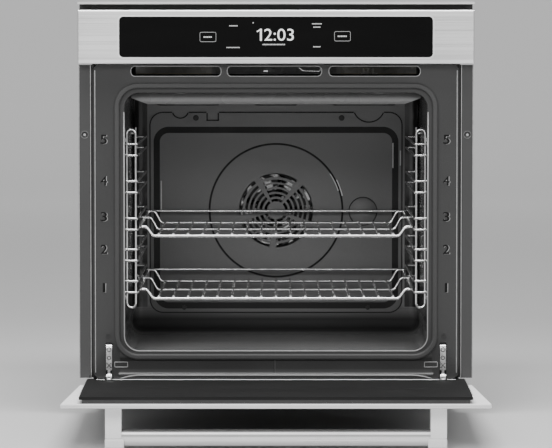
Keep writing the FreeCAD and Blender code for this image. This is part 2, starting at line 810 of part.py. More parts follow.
def build_baffle():
    body = new_body("fan_baffle")
    outline = new_sketch(body, "XZ_Plane", "baffle_outline", "-baffle_front")
    rounded_outline(outline, "-baffle_half", "baffle_half", "baffle_bottom", "baffle_top",
                    "baffle_corner")
    pad(body, outline, "baffle_sheet", backwards=True)
    notches = new_sketch(body, "XZ_Plane", "baffle_notches", "-baffle_front + 1")
    round_outline(notches, "-156", "baffle_top + 5", "14.5")
    plain_outline(notches, "-113.5", "-93", "baffle_top - 13", "baffle_top + 5")
    round_outline(notches, "151.5", "baffle_top + 11", "27")
    pocket(body, notches, "baffle_sheet + 3")

    # The middle of the plate is pressed back behind a sloping border.
    panel = new_sketch(body, "XZ_Plane", "pressed_panel", "-baffle_front")
    rounded_outline(panel, "-panel_half", "panel_half", "panel_bottom", "panel_top", "panel_corner")
    pressed = pocket(body, panel, "emboss_depth")
    front = size_of("baffle_front")
    half = size_of("panel_half") + 0.2
    slope = body.newObject("PartDesign::Chamfer", "pressed_slope")
    slope.Base = (pressed, edges_where(pressed, lambda centre, edge: near(centre.y, front)
                  and edge.BoundBox.ZMax < size_of("panel_top") + 0.2 and abs(centre.x) < half
                  and edge.BoundBox.ZMin > size_of("panel_bottom") - 0.2))
    slope.ChamferType = 1
    bind(slope, "Size", "emboss_width")
    bind(slope, "Size2", "emboss_depth - 0.05")

    ring = new_sketch(body, "XZ_Plane", "ring_mark", "-baffle_front")
    round_outline(ring, "0", "fan_height", "ring_mark_radius + 1")
    round_outline(ring, "0", "fan_height", "ring_mark_radius - 1")
    pocket(body, ring, "emboss_depth + 0.6")

    holes = new_sketch(body, "XZ_Plane", "baffle_holes", "-baffle_front + 1")
    round_outline(holes, "lamp_x", "lamp_z", "lamp_radius + 0.4")
    pocket(body, holes, "baffle_sheet + 3")

    grille = new_sketch(body, "XZ_Plane", "grille_slots", "-baffle_front + 1")
    bind(grille, "AttachmentOffset.Base.y", "fan_height")
    pitch = 360.0 / GRILLE_SECTORS
    for inner, outer in GRILLE_BANDS:
        arc_slot(grille, inner, outer, FIRST_SPOKE_DEGREES + GRILLE_GAP_DEGREES / 2,
                 pitch - GRILLE_GAP_DEGREES)
    slots = pocket(body, grille, "baffle_sheet + 3")
    doc.recompute()
    pattern = body.newObject("PartDesign::PolarPattern", "grille_sectors")
    pattern.Originals = [slots]
    pattern.Axis = (grille, ["N_Axis"])
    pattern.Angle = 360
    pattern.Occurrences = GRILLE_SECTORS
    body.Tip = pattern
    publish(body, "fan_baffle")


def build_baffle_screws():
    screws = []
    for name, x, z in (("left", "-130.5", "409"), ("right", "107", "409"), ("low_left", "-150", "99"),
                       ("low_right", "150", "99")):
        head = rod("baffle_head_" + name, "Y", (x, "baffle_front - 2", z), "3.6", "2")
        slot = block("baffle_drive_" + name, (x + " - 2.5", "baffle_front - 3", z + " - 0.5"),
                     (x + " + 2.5", "baffle_front - 1.2", z + " + 0.5"))
        screws.append(carve("baffle_screw_" + name, head, [slot]))
    publish(group("baffle_screws", screws), "baffle_screws")


def build_mouth_shield():
    """Rolled strip that hides the grill element, with pointed ends."""
    body = new_body("rolled_strip")
    half, top, low = 219.0, 457.0, 440.5
    face, bulge = -246.0, 5.0
    tip_x, tip_z, foot_x, foot_z = 222.0, 451.0, 188.0, 438.0
    profile = new_sketch(body, "YZ_Plane", "shield_profile", "-%g" % half)
    curve = Part.Arc(Vector(face, top, 0), Vector(face - bulge, (top + low) / 2, 0), Vector(face, low, 0))
    profile.addGeometry(curve, False)
    profile.addGeometry(Part.LineSegment(Vector(face, low, 0), Vector(face, top, 0)), False)
    relate(profile, "Coincident", 0, 1, 1, 2)
    relate(profile, "Coincident", 0, 2, 1, 1)
    pad(body, profile, "2 * %g" % half)
    corners = new_sketch(body, "XZ_Plane", "shield_ends", "260")
    for sign in (-1, 1):
        tip = Vector(sign * tip_x, tip_z, 0)
        foot = Vector(sign * foot_x, foot_z, 0)
        far = Vector(sign * tip_x, foot_z, 0)
        first = corners.addGeometry(Part.LineSegment(tip, foot), False)
        corners.addGeometry(Part.LineSegment(foot, far), False)
        corners.addGeometry(Part.LineSegment(far, tip), False)
        for side in range(3):
            relate(corners, "Coincident", first + side, 2, first + (side + 1) % 3, 1)
    pocket(body, corners, "40")
    pieces = [body]
    for name, x in (("left", "-150"), ("right", "150")):
        pieces.append(block("strap_" + name, (x, "-247.2", "445"), (x + " + 12", "-246", "cavity_ceiling")))
    publish(join("hung_shield", pieces), "grill_shield")


# ---------------------------------------------------------------- heaters, fan, lamp

def build_elements():
    z = size_of("fan_height")
    plane = size_of("cavity_back") + size_of("ring_setback")
    across, lead_x = size_of("ring_radius"), size_of("ring_lead_x")
    solid = Part.makeTorus(across, size_of("ring_wire"), Vector(0, plane, z), Vector(0, 1, 0))
    for x in (-lead_x, lead_x):
        start = Vector(x, plane, z - across)
        solid = solid.fuse(Part.makeCylinder(size_of("ring_lead_wire"), size_of("ring_lead_length"), start,
                                             Vector(0, 1, 0)))
    shape_node("ring_element", solid.removeSplitter())

    wire, bend = size_of("element_wire"), size_of("element_bend")
    level = size_of("cavity_ceiling") - size_of("grill_drop")
    back = size_of("cavity_back") + 45
    loop = [(-60, back, level), (-60, 110, level), (-180, 110, level), (-180, -190, level),
            (-90, -190, level), (-90, 60, level), (-30, 60, level), (-30, -190, level)]
    loop += [(-x, y, z) for x, y, z in reversed(loop)]
    shape_node("grill_element", bent_wire(loop, wire, bend))

    low = size_of("cavity_floor") - size_of("bake_drop")
    base = [(-40, 205, low), (-40, 120, low), (-180, 120, low), (-180, -200, low), (-60, -200, low),
            (-60, 60, low)]
    base += [(-x, y, z) for x, y, z in reversed(base)]
    shape_node("bake_element", bent_wire(base, wire, bend))


FAN_BLADES = 9
FAN_BLADE_TWIST = 40


def build_convection():
    centre = "fan_height"
    hub = rod("fan_hub", "Y", ("0", "cavity_back + 8", centre), "hub_radius", "12")
    disc = rod("fan_disc", "Y", ("0", "cavity_back + 18", centre), "disc_radius", "disc_sheet")
    shaft = rod("fan_shaft", "Y", ("0", "cavity_back + 6", centre), "shaft_radius", "76")
    pieces = [hub, disc, shaft]
    for number in range(FAN_BLADES):
        blade = doc.addObject("Part::Box", "fan_blade_%d" % number)
        bind(blade, "Length", "blade_length")
        bind(blade, "Width", "blade_width")
        bind(blade, "Height", "blade_sheet")
        pivot = Vector(0, size_of("cavity_back") + 7.2, size_of("fan_height"))
        turn = Rotation(Vector(0, 1, 0), 360 / FAN_BLADES * number)
        twist = Rotation(Vector(1, 0, 0), FAN_BLADE_TWIST)
        blade.Placement = Placement(pivot + turn.multVec(Vector(8, 0, -5)), turn.multiply(twist))
        pieces.append(blade)
    publish(join("convection_fan", pieces), "convection_fan")
    nut = doc.addObject("Part::Prism", "nut_prism")
    nut.Polygon = 6
    bind(nut, "Circumradius", "nut_radius")
    bind(nut, "Height", "nut_height")
    nut.Placement = Placement(Vector(), TURN["Y"])
    move_to(nut, ("0", "cavity_back + 2.6", centre))
    bore = rod("nut_bore", "Y", ("0", "cavity_back + 6", centre), "shaft_radius", "10")
    publish(carve("fan_nut", nut, [bore]), "fan_nut")

    case = rod("motor_case", "Y", ("0", "cavity_back + fan_well_depth + 6", centre), "motor_radius",
               "motor_length")
    flange = block("motor_flange", ("-motor_flange_half", "cavity_back + fan_well_depth + 3",
                                    "fan_height - motor_flange_rise"),
                   ("motor_flange_half", "cavity_back + fan_well_depth + 6",
                    "fan_height + motor_flange_rise"))
    bore = rod("motor_bore", "Y", ("0", "cavity_back + fan_well_depth", centre),
               "shaft_radius + shaft_clearance",
               "44")
    publish(carve("convection_motor", join("motor_solid", [case, flange]), [bore]), "convection_motor")


def build_lamp():
    dome = doc.addObject("Part::Sphere", "lens_dome")
    bind(dome, "Radius", "(lamp_radius ^ 2 + lens_rise ^ 2) / (2 * lens_rise)")
    move_to(dome, ("lamp_x", "baffle_front - lens_rise + (lamp_radius ^ 2 + lens_rise ^ 2) / (2 * lens_rise)",
                   "lamp_z"))
    barrel = rod("lens_barrel", "Y", ("lamp_x", "baffle_front - lens_rise - 1", "lamp_z"), "lamp_radius",
                 "cavity_back - baffle_front + lens_rise + 1")
    lens = doc.addObject("Part::MultiCommon", "lens_solid")
    lens.Shapes = [dome, barrel]
    publish(lens, "lamp_lens")

    cup = rod("lamp_cup", "Y", ("lamp_x", "cavity_back + 1", "lamp_z"), "lamp_radius - 3.3", "cup_depth")
    room = rod("lamp_room", "Y", ("lamp_x", "cavity_back - 1", "lamp_z"), "lamp_radius - 5", "cup_depth - 1")
    publish(carve("lamp_housing", cup, [room]), "lamp_housing")
    stem = rod("bulb_stem", "Y", ("lamp_x", "cavity_back + 24", "lamp_z"), "bulb_stem_radius",
               "bulb_stem_length")
    globe = doc.addObject("Part::Sphere", "bulb_globe")
    bind(globe, "Radius", "bulb_radius")
    move_to(globe, ("lamp_x", "cavity_back + 16", "lamp_z"))
    publish(join("lamp_bulb", [stem, globe]), "lamp_bulb")


def build_probe_and_cutout():
    stem = rod("probe_stem", "Y", ("probe_x", "cavity_back - probe_reach", "lead_z"), "probe_radius",
               "probe_length")
    collar = rod("probe_collar", "Y", ("probe_x", "cavity_back - 1.5", "lead_z"), "probe_collar_radius",
                 "1.5")
    publish(join("temperature_probe", [stem, collar]), "temperature_probe")
    can = rod("cutout_can", "Z", ("cutout_x", "cutout_x", "wool_top"), "cutout_radius", "cutout_height")
    ears = block("cutout_ears", ("cutout_x - ear_half", "cutout_x - ear_width / 2", "wool_top"),
                 ("cutout_x + ear_half", "cutout_x + ear_width / 2", "wool_top + sheet_metal"))
    publish(join("thermal_cutout", [can, ears]), "thermal_cutout")


# ---------------------------------------------------------------- shelf supports and racks

def build_supports():
    wire = size_of("guide_wire")
    inner, outer = size_of("loop_inner"), size_of("loop_outer")
    top, bottom = size_of("loop_top"), size_of("loop_bottom")
    front, rear = size_of("loop_front"), size_of("loop_rear")
    guide = size_of("guide_x")
    bend = (outer - inner) / 2
    for name, sign in (("left", -1), ("right", 1)):
        solids = []
        for x, y in ((inner, front), (outer, front), (outer, rear)):
            post = Part.makeCylinder(wire, top - bottom - 2 * bend, Vector(sign * x, y, bottom + bend))
            solids.append(post)
        for height, turn in ((top - bend, 0), (bottom + bend, 180)):
            centre = Vector(sign * (inner + outer) / 2, front, height)
            curl = Part.makeTorus(bend, wire, Vector(), Vector(0, 0, 1), 0, 360, 180)
            half_turn = Rotation(Vector(0, 1, 0), turn)
            curl.Placement = Placement(centre, half_turn.multiply(Rotation(Vector(1, 0, 0), 90)))
            solids.append(curl)
        for level in GUIDE_LEVELS:
            for height in (level, level + size_of("guide_gap")):
                ahead = front - 2 * wire + 0.6
                behind = rear + 2 * wire - 0.6
                route = [(sign * (outer + 2), ahead, height), (sign * guide, ahead, height),
                         (sign * guide, behind, height), (sign * (outer + 2), behind, height)]
                solids.append(bent_wire(route, wire, 3.2))
        whole = solids[0].fuse(solids[1:])
        shape_node("rack_support_" + name, whole)

    studs = []
    for name, sign in (("left", -1), ("right", 1)):
        for y in ("loop_front", "loop_rear"):
            for height in ("upper_stud", "lower_stud"):
                low = "loop_outer + guide_wire" if sign > 0 else "-cavity_half"
                tag = "%s_%s_%s" % (name, y, height)
                studs.append(rod("stud_" + tag, "X", (low, y, height), "stud_radius",
                                 "cavity_half - loop_outer - guide_wire"))
    publish(group("support_studs", studs), "support_studs")


def rack_solid(rail):
    """Stepped wire rack whose side rails run at one height."""
    thick, cross, thin = size_of("rack_rod"), size_of("rack_cross"), size_of("rack_wire")
    side, crest, foot = size_of("rack_rail_x"), size_of("rack_step_top"), size_of("rack_step_foot")
    flat = rail - size_of("rack_drop")
    raised = rail + size_of("rack_stop_rise")
    front, middle, rear = size_of("rack_front"), size_of("rack_middle"), size_of("rack_rear")
    last = size_of("rack_stop")
    bend, level_end = size_of("rack_bend"), rear - size_of("rack_stop_bend")
    rim = [(-side, last + cross / 2, raised), (-side, rear + cross, raised), (-side, level_end, rail),
           (-side, front, rail), (-crest, front, rail), (-foot, front, flat)]
    mirrored = [(-x, y, z) for x, y, z in reversed(rim)]
    solids = [bent_wire(rim + mirrored, thick, bend)]
    reach = side + size_of("rack_overhang")
    for y in (middle, rear):
        route = [(-reach, y, raised), (-crest, y, raised), (-foot, y, flat), (foot, y, flat),
                 (crest, y, raised), (reach, y, raised)]
        solids.append(bent_wire(route, cross, bend))
    solids.append(Part.makeCylinder(cross, 2 * side, Vector(-side, last, raised), Vector(1, 0, 0)))
    count = int(size_of("rack_wire_count"))
    for number in range(count):
        x = (number - (count - 1) / 2) * size_of("rack_pitch")
        start = Vector(x, front - thick / 2, flat + cross + thin - 0.9)
        solids.append(Part.makeCylinder(thin, rear - front + thick, start, Vector(0, 1, 0)))
    return solids[0].fuse(solids[1:])


def build_racks():
    for label, level in (("upper_rack", UPPER_LEVEL), ("lower_rack", LOWER_LEVEL)):
        rail = GUIDE_LEVELS[level] + size_of("rail_lift")
        shape_node(label, rack_solid(rail))


# ---------------------------------------------------------------- controls and cooling

def build_fascia():
    body = new_body("control_fascia")
    outline = new_sketch(body, "XZ_Plane", "fascia_outline", "-fascia_front")
    plain_outline(outline, "-front_width / 2", "front_width / 2", "fascia_bottom", "fascia_top")
    solid = pad(body, outline, "fascia_depth - 1.5", backwards=True)
    face = size_of("fascia_front")
    soften(body, solid, "2.2", lambda centre, edge: near(centre.y, face))
    hollow = new_sketch(body, "XZ_Plane", "fascia_hollow", "-(fascia_front + fascia_sheet)")
    plain_outline(hollow, "-front_width / 2 + 2.4", "front_width / 2 - 2.4", "fascia_bottom + 2.4",
                  "fascia_top - 2.4")
    pocket(body, hollow, "fascia_depth")
    window = new_sketch(body, "XZ_Plane", "fascia_window", "-fascia_front + 1")
    rounded_outline(window, "-glass_half - 0.3", "glass_half + 0.3", "glass_bottom - 0.3", "glass_top + 0.3",
                    "glass_corner + 0.3")
    pocket(body, window, "8")
    publish(body, "control_fascia")

    glass = new_body("control_glass")
    shape = new_sketch(glass, "XZ_Plane", "glass_outline", "-fascia_front - 0.1")
    rounded_outline(shape, "-glass_half", "glass_half", "glass_bottom", "glass_top", "glass_corner")
    plate = pad(glass, shape, "glass_sheet", backwards=True)
    edge_y = size_of("fascia_front") + 0.1
    soften(glass, plate, "0.5", lambda centre, edge: near(centre.y, edge_y))
    publish(glass, "control_glass")


def build_electronics():
    front = "fascia_front + 0.1 + glass_sheet"
    publish(block("display_module", ("-display_half", front, "display_bottom"),
                  ("display_half", front + " + display_depth", "display_top")), "display_module")
    board = block("board", ("-board_half", "board_front", "board_bottom"),
                  ("board_half", "board_rear", "board_top"))
    pieces = [board]
    for name, left, width, height in (("relay_left", -180, 30, 25), ("relay_middle", -70, 30, 25),
                                      ("transformer", 110, 40, 35)):
        pieces.append(block(name, (left, "board_rear - 0.2", "part_bottom"),
                            (left + width, "part_rear", "part_bottom + %d" % height)))
    publish(join("control_board", pieces), "control_board")


def build_top_trim():
    strip = block("trim_strip", ("-front_width / 2", "fascia_front", "trim_bottom"),
                  ("front_width / 2", "fascia_front + 1.5", "overall_height"))
    cover = block("trim_cover", ("-front_width / 2", "fascia_front", "overall_height - 1.2"),
                  ("front_width / 2", "fascia_front + trim_depth", "overall_height"))
    web = block("trim_web", ("-chassis_half", "fascia_front + trim_depth - 1.2",
                             "chassis_roof + sheet_metal"),
                ("chassis_half", "fascia_front + trim_depth", "overall_height"))
    publish(join("top_trim", [strip, cover, web]), "top_trim")


def build_duct():
    outer = block("duct_outer", ("-duct_half", "frame_front + frame_sheet", "duct_bottom"),
                  ("duct_half", "blower_y - blower_front", "duct_top"))
    inner = block("duct_inner", ("-duct_half + 1.2", "frame_front - 5", "duct_bottom + 1.2"),
                  ("duct_half - 1.2", "blower_y + 5", "duct_top - 1.2"))
    publish(carve("air_duct", outer, [inner]), "air_duct")


def build_blower():
    case = block("blower_case_solid", ("-blower_half - 6", "blower_y - blower_front + 0.1",
                                       "duct_bottom + 0.2"),
                 ("blower_half + 6", "blower_y + blower_front", "blower_top"))
    drum = rod("blower_room", "X", ("-blower_half - 2", "blower_y", "blower_z"),
               "blower_radius + blower_room",
               "2 * blower_half + 4")
    throat = block("blower_throat", ("-blower_half", "blower_y - 60", "duct_bottom + 3"),
                   ("blower_half", "blower_y", "duct_top - 2"))
    intake = block("blower_intake", ("-blower_half", "blower_y - 20", "blower_z + 20"),
                   ("blower_half", "blower_y + 20", "600"))
    bore = rod("blower_bore", "X", ("-blower_half - 20", "blower_y", "blower_z"),
               "impeller_shaft + shaft_clearance",
               "2 * blower_half + 40")
    publish(carve("blower_housing", case, [drum, throat, intake, bore]), "blower_housing")

    pieces = [rod("impeller_shaft", "X", ("-blower_half - 5.5", "blower_y", "blower_z"), "impeller_shaft",
                  "2 * blower_half + 39.5")]
    for name, x in (("left", "-blower_half"), ("middle", "-1"), ("right", "blower_half - impeller_disc")):
        pieces.append(rod("impeller_disc_" + name, "X", (x, "blower_y", "blower_z"), "blower_radius",
                          "impeller_disc"))
    for number in range(20):
        blade = doc.addObject("Part::Box", "impeller_blade_%d" % number)
        bind(blade, "Length", "2 * blower_half")
        bind(blade, "Width", "impeller_blade_width")
        bind(blade, "Height", "impeller_blade_sheet")
        spin = Rotation(Vector(1, 0, 0), 18 * number)
        lean = Rotation(Vector(1, 0, 0), 35)
        hub = Vector(-size_of("blower_half"), size_of("blower_y"), size_of("blower_z"))
        reach = spin.multVec(Vector(0, size_of("blower_radius") - 6.6, -2.5))
        blade.Placement = Placement(hub + reach, spin.multiply(lean))
        pieces.append(blade)
    publish(join("cooling_impeller", pieces), "cooling_impeller")

    case = rod("blower_motor_case", "X", ("blower_half + motor_air_gap", "blower_y", "blower_z"),
               "blower_motor_radius", "blower_motor_length")
    foot = block("blower_motor_foot", ("blower_half + motor_air_gap", "blower_y - 20", "duct_top + 1"),
                 ("blower_half + 40", "blower_y + 20", "blower_z"))
    bore = rod("blower_motor_bore", "X", ("blower_half + 5", "blower_y", "blower_z"),
               "impeller_shaft + shaft_clearance", "31")
    publish(carve("blower_motor", join("blower_motor_solid", [case, foot]), [bore]), "blower_motor")


def build_inlet():
    nut = rod("fitting_flange", "Y", ("inlet_x", "chassis_rear - 4.4", "inlet_z"), "inlet_bore + 8", "3")
    sleeve = rod("fitting_sleeve", "Y", ("inlet_x", "chassis_rear - 14", "inlet_z"), "inlet_bore + 3", "14")
    bore = rod("fitting_bore", "Y", ("inlet_x", "chassis_rear - 20", "inlet_z"), "inlet_bore", "30")
    publish(carve("conduit_fitting", join("fitting_solid", [nut, sleeve]), [bore]), "conduit_fitting")
    box = block("terminal_base", ("inlet_x + terminal_start", "chassis_rear - terminal_depth",
                                  "terminal_bottom"),
                ("inlet_x + terminal_end", "chassis_rear - sheet_metal", "terminal_top"))
    tools = []
    for number in range(3):
        x = "inlet_x + terminal_first + %d * terminal_pitch" % number
        tools.append(rod("terminal_well_%d" % number, "Z", (x, "chassis_rear - 16", "552"), "terminal_bore",
                         "10"))
    publish(carve("terminal_block", box, tools), "terminal_block")


# ---------------------------------------------------------------- hinges and door

def build_hinges():
    for name, sign in (("left", -1), ("right", 1)):
        x = "%d * hinge_x" % sign
        eye = rod("eye_" + name, "X", (x + " - hinge_arm / 2", "hinge_y", "hinge_z"), "hinge_eye",
                  "hinge_arm")
        low = block("arm_low_" + name, (x + " - hinge_arm / 2", "hinge_y", "hinge_z + 1.5"),
                    (x + " + hinge_arm / 2", "-212", "48"))
        claw = block("arm_claw_" + name, (x + " - claw_width / 2", "hinge_y + 0.6", "claw_bottom"),
                     (x + " + claw_width / 2", "-258", "crown_height"))
        crown = rod("arm_crown_" + name, "X", (x + " - claw_width / 2", "-267.2", "crown_height"),
                    "crown_radius",
                    "claw_width")
        bore = rod("eye_bore_" + name, "X", (x + " - 10", "hinge_y", "hinge_z"), "hinge_pin + pin_clearance",
                   "20")
        arm = carve("hinge_arm_" + name, join("arm_" + name, [eye, low, claw, crown]), [bore])
        publish(arm, "hinge_arm_" + name)

        outer = block("receiver_outer_" + name, (x + " - 7", "chassis_front - 10", "lip_bottom + 2"),
                      (x + " + 7", "-200", "arm_slot_top + 2"))
        inner = block("receiver_inner_" + name, (x + " - 5.4", "chassis_front - 20", "lip_bottom - 5"),
                      (x + " + 5.4", "-202", "arm_slot_top + 0.4"))
        publish(carve("hinge_receiver_" + name, outer, [inner]), "hinge_receiver_" + name)

    pins = []
    for name, sign in (("left", -1), ("right", 1)):
        x = "%d * hinge_x" % sign
        walls = []
        for wall, near_edge, far_edge in (("inner", "hinge_arm / 2 + 0.3", "hinge_arm / 2 + 2.1"),
                                          ("outer", "-hinge_arm / 2 - 2.1", "-hinge_arm / 2 - 0.3")):
            left, right = "%s + (%s)" % (x, near_edge), "%s + (%s)" % (x, far_edge)
            tag = "%s_%s" % (name, wall)
            walls.append(block("channel_wall_" + tag, (left, "channel_front + 1", "channel_bottom"),
                               (right, "channel_rear", "channel_top")))
            walls.append(block("channel_ear_" + tag, (left, "-290", "24.8"), (right, "hinge_y", "33.2")))
            walls.append(rod("channel_eye_" + tag, "X", (left, "hinge_y", "hinge_z"), "4.2", "1.8"))
        walls.append(block("channel_base_" + name, (x + " - channel_half", "channel_front", "channel_bottom"),
                           (x + " + channel_half", "channel_front + 1.6", "channel_top")))
        bore = rod("channel_bore_" + name, "X", (x + " - 10", "hinge_y", "hinge_z"), "hinge_pin", "20")
        channel = carve("hinge_channel_" + name, join("channel_" + name, walls), [bore])
        door_part(channel, "hinge_channel_" + name)
        pins.append(rod("hinge_pin_" + name, "X", (x + " - channel_half", "hinge_y", "hinge_z"), "hinge_pin",
                        "2 * channel_half"))
    door_part(group("hinge_pins", pins), "hinge_pins")

    springs = []
    for name, sign in (("left", -1), ("right", 1)):
        helix = Part.makeHelix(size_of("spring_pitch"), size_of("spring_length"), size_of("spring_radius"))
        centre = size_of("spring_radius")
        square = ((-0.4, -0.5), (0.4, -0.5), (0.4, 0.5), (-0.4, 0.5))
        corners = [Vector(centre + x, 0, z) for x, z in square]
        section = Part.makePolygon(corners + corners[:1])
        coil = Part.Wire(helix.Edges).makePipeShell([section], True, True)
        foot = Vector(sign * size_of("hinge_x"), size_of("spring_y"), size_of("spring_bottom"))
        coil.Placement = Placement(foot, Rotation())
        springs.append(coil)
    shape_node("hinge_springs", Part.makeCompound(springs), door_placement())


def build_door_skin():
    body = new_body("door_skin")
    outline = new_sketch(body, "XZ_Plane", "door_outline", "-fascia_front")
    plain_outline(outline, "-front_width / 2", "front_width / 2", "door_bottom", "door_top")
    solid = pad(body, outline, "door_tray", backwards=True)
    face = size_of("fascia_front")
    soften(body, solid, "door_edge", lambda centre, edge: near(centre.y, face))
    hollow = new_sketch(body, "XZ_Plane", "door_hollow", "-(fascia_front + door_sheet)")
    plain_outline(hollow, "-front_width / 2 + 3.2", "front_width / 2 - 3.2", "door_bottom + 3.2",
                  "door_top - 3.2")
    pocket(body, hollow, "door_tray")
    window = new_sketch(body, "XZ_Plane", "door_window_cut", "-fascia_front + 1")
    rounded_outline(window, "-window_half", "window_half", "window_bottom", "window_top", "10")
    pocket(body, window, "8")
    door_part(body, "door_skin")

    pane = new_body("door_window")
    shape = new_sketch(pane, "XZ_Plane", "window_outline", "-fascia_front + 0.3")
    rounded_outline(shape, "-window_half + 0.3", "window_half - 0.3", "window_bottom + 0.3",
                    "window_top - 0.3",
                    "9.7")
    pad(pane, shape, "3.5", backwards=True)
    door_part(pane, "door_window")


def build_door_inside():
    sheet_back = "fascia_front + door_tray + door_sheet"
    body = new_body("door_inner_panel")
    outline = new_sketch(body, "XZ_Plane", "inner_outline", "-(fascia_front + door_tray)")
    plain_outline(outline, "-front_width / 2 + 0.8", "front_width / 2 - 0.8", "door_bottom + 1.5",
                  "door_top - 0.8")
    pad(body, outline, "door_sheet", backwards=True)
    window = new_sketch(body, "XZ_Plane", "inner_window", "-(fascia_front + door_tray) + 1")
    rounded_outline(window, "-inner_window_half", "inner_window_half", "inner_window_bottom",
                    "inner_window_top",
                    "inner_window_corner")
    for sign in ("-", ""):
        centre = "%shinge_x" % sign
        plain_outline(window, centre + " - channel_slot_half", centre + " + channel_slot_half",
                      "door_bottom - 3",
                      "channel_slot_top")
    pocket(body, window, "door_sheet + 4")
    door_part(body, "door_inner_panel")

    glass = new_body("inner_glass")
    plan = new_sketch(glass, "XZ_Plane", "pane_outline", "-pane_front")
    low, high = size_of("pane_bottom"), size_of("pane_top")
    wide, narrow = size_of("pane_half_bottom"), size_of("pane_half_top")
    near_x, far_x, notch_top = size_of("notch_near"), size_of("notch_far"), size_of("notch_top")
    right = [(narrow, high), (wide, low), (far_x, low), (far_x, notch_top), (near_x, notch_top),
             (near_x, low)]
    left = [(-x, z) for x, z in reversed(right)]
    points = [Vector(x, z, 0) for x, z in right + left]
    for start, end in zip(points, points[1:] + points[:1]):
        plan.addGeometry(Part.LineSegment(start, end), False)
    for number in range(len(points)):
        relate(plan, "Coincident", number, 2, (number + 1) % len(points), 1)
    fix(plan, "DistanceY", (-1, 1, 0, 1), "pane_top")
    fix(plan, "DistanceX", (-1, 1, 0, 1), "pane_half_top")
    fix(plan, "DistanceY", (-1, 1, 1, 1), "pane_bottom")
    fix(plan, "DistanceX", (-1, 1, 1, 1), "pane_half_bottom")
    plate = pad(glass, plan, "pane_sheet", backwards=True)
    thickness = size_of("pane_sheet")
    soften(glass, plate, "pane_corner", lambda centre, edge: edge.BoundBox.XLength < 0.01
           and near(edge.BoundBox.YLength, thickness, 0.01) and abs(centre.x) > near_x + 18)
    door_part(glass, "inner_glass")

    rails = []
    for name, low_x, high_x, low_z, high_z in (
        ("top", "-rail_outer", "rail_outer", "478", "pane_top - 0.3"),
        ("bottom", "-240", "240", "14", "26"),
        ("left", "-rail_outer", "-rail_inner", "50", "470"),
        ("right", "rail_inner", "rail_outer", "50", "470"),
    ):
        rails.append(block("rail_" + name, (low_x, sheet_back, low_z), (high_x, "pane_front", high_z)))
    door_part(group("glass_rails", rails), "glass_rails")


def build_handle():
    body = new_body("handle_bar")
    profile = new_sketch(body, "YZ_Plane", "bar_profile", "-bracket_inner")
    rounded_outline(profile, "fascia_front - finger_gap - bar_depth", "fascia_front - finger_gap",
                    "handle_z - bar_width / 2", "handle_z + bar_width / 2", "bar_round")
    pad(body, profile, "2 * bracket_inner")
    door_part(body, "handle_bar")

    caps, screws = [], []
    for name, sign in (("left", -1), ("right", 1)):
        outer_x = sign * size_of("bracket_outer")
        bracket = new_body("handle_bracket_" + name)
        low = "bracket_inner" if sign > 0 else "-bracket_outer"
        plan = new_sketch(bracket, "YZ_Plane", "bracket_profile_" + name, low)
        rounded_outline(plan, "fascia_front - bracket_reach", "fascia_front", "handle_z - bracket_width / 2",
                        "handle_z + bracket_width / 2", "1.5")
        solid = pad(bracket, plan, "bracket_outer - bracket_inner")
        soften(bracket, solid, "1.2", lambda centre, edge: near(centre.x, outer_x) and edge.Length > 5)
        door_part(bracket, "handle_bracket_" + name)

        # Bright cap over the foot of the bracket, with a socket for the bar.
        cap = new_body("cap_solid_" + name)
        low = "bracket_inner - cap_overlap" if sign > 0 else "-bracket_outer - cap_rise"
        plan = new_sketch(cap, "YZ_Plane", "cap_profile_" + name, low)
        rounded_outline(plan, "fascia_front - handle_reach", "fascia_front - bracket_reach",
                        "handle_z - bracket_width / 2 - cap_rise",
                        "handle_z + bracket_width / 2 + cap_rise", "2.4")
        solid = pad(cap, plan, "bracket_outer - bracket_inner + cap_overlap + cap_rise")
        far_face = outer_x + sign * size_of("cap_rise")
        soften(cap, solid, "1.6", lambda centre, edge: near(centre.x, far_face) and edge.Length > 5)
        socket = new_body("cap_socket_" + name)
        low = "bracket_inner - cap_overlap - socket_run" if sign > 0 else "-bracket_inner - cap_clearance"
        plan = new_sketch(socket, "YZ_Plane", "socket_profile_" + name, low)
        rounded_outline(plan, "fascia_front - finger_gap - bar_depth - cap_clearance",
                        "fascia_front - finger_gap + cap_clearance", "handle_z - bar_width / 2 - cap_clearance",
                        "handle_z + bar_width / 2 + cap_clearance", "bar_round + cap_clearance")
        pad(socket, plan, "cap_overlap + socket_run + cap_clearance")
        caps.append(carve("handle_cap_" + name, cap, [socket]))
        x = "%d * (bracket_inner + bracket_outer) / 2" % sign
        screws.append(rod("handle_head_" + name, "Y", (x, "fascia_front + door_sheet", "handle_z"), "5", "3"))
    door_part(group("handle_end_caps", caps), "handle_end_caps")
    door_part(group("handle_screws", screws), "handle_screws")


# ---------------------------------------------------------------- build, check, write

def check_document():
    """Stop on any feature that failed or any pocket that removed nothing."""
    doc.recompute()
    faults = []
    for item in doc.Objects:
        if "Invalid" in item.State or "Error" in item.State:
            faults.append("%s failed: %s" % (item.Name, item.State))
        elif item.TypeId == "PartDesign::Pocket":
            before = item.BaseFeature.Shape
            if before.isNull() or item.Shape.isNull() or item.Shape.Volume > before.Volume - 0.5:
                faults.append("%s removes nothing" % item.Name)
    for item in nodes:
        shape = item.Shape
        if shape.isNull() or not shape.isValid() or not shape.Solids:
            faults.append("%s has no valid solid" % item.Label)
    if faults:
        raise RuntimeError("; ".join(faults))


def write_parts():
    os.makedirs(NODE_FOLDER, exist_ok=True)
    for item in nodes:
        item.Shape.exportStep("%s/%s.step" % (NODE_FOLDER, item.Label))
        print("%-24s solids %d  volume %.0f" % (item.Label, len(item.Shape.Solids), item.Shape.Volume))
    print("%d nodes" % len(nodes))


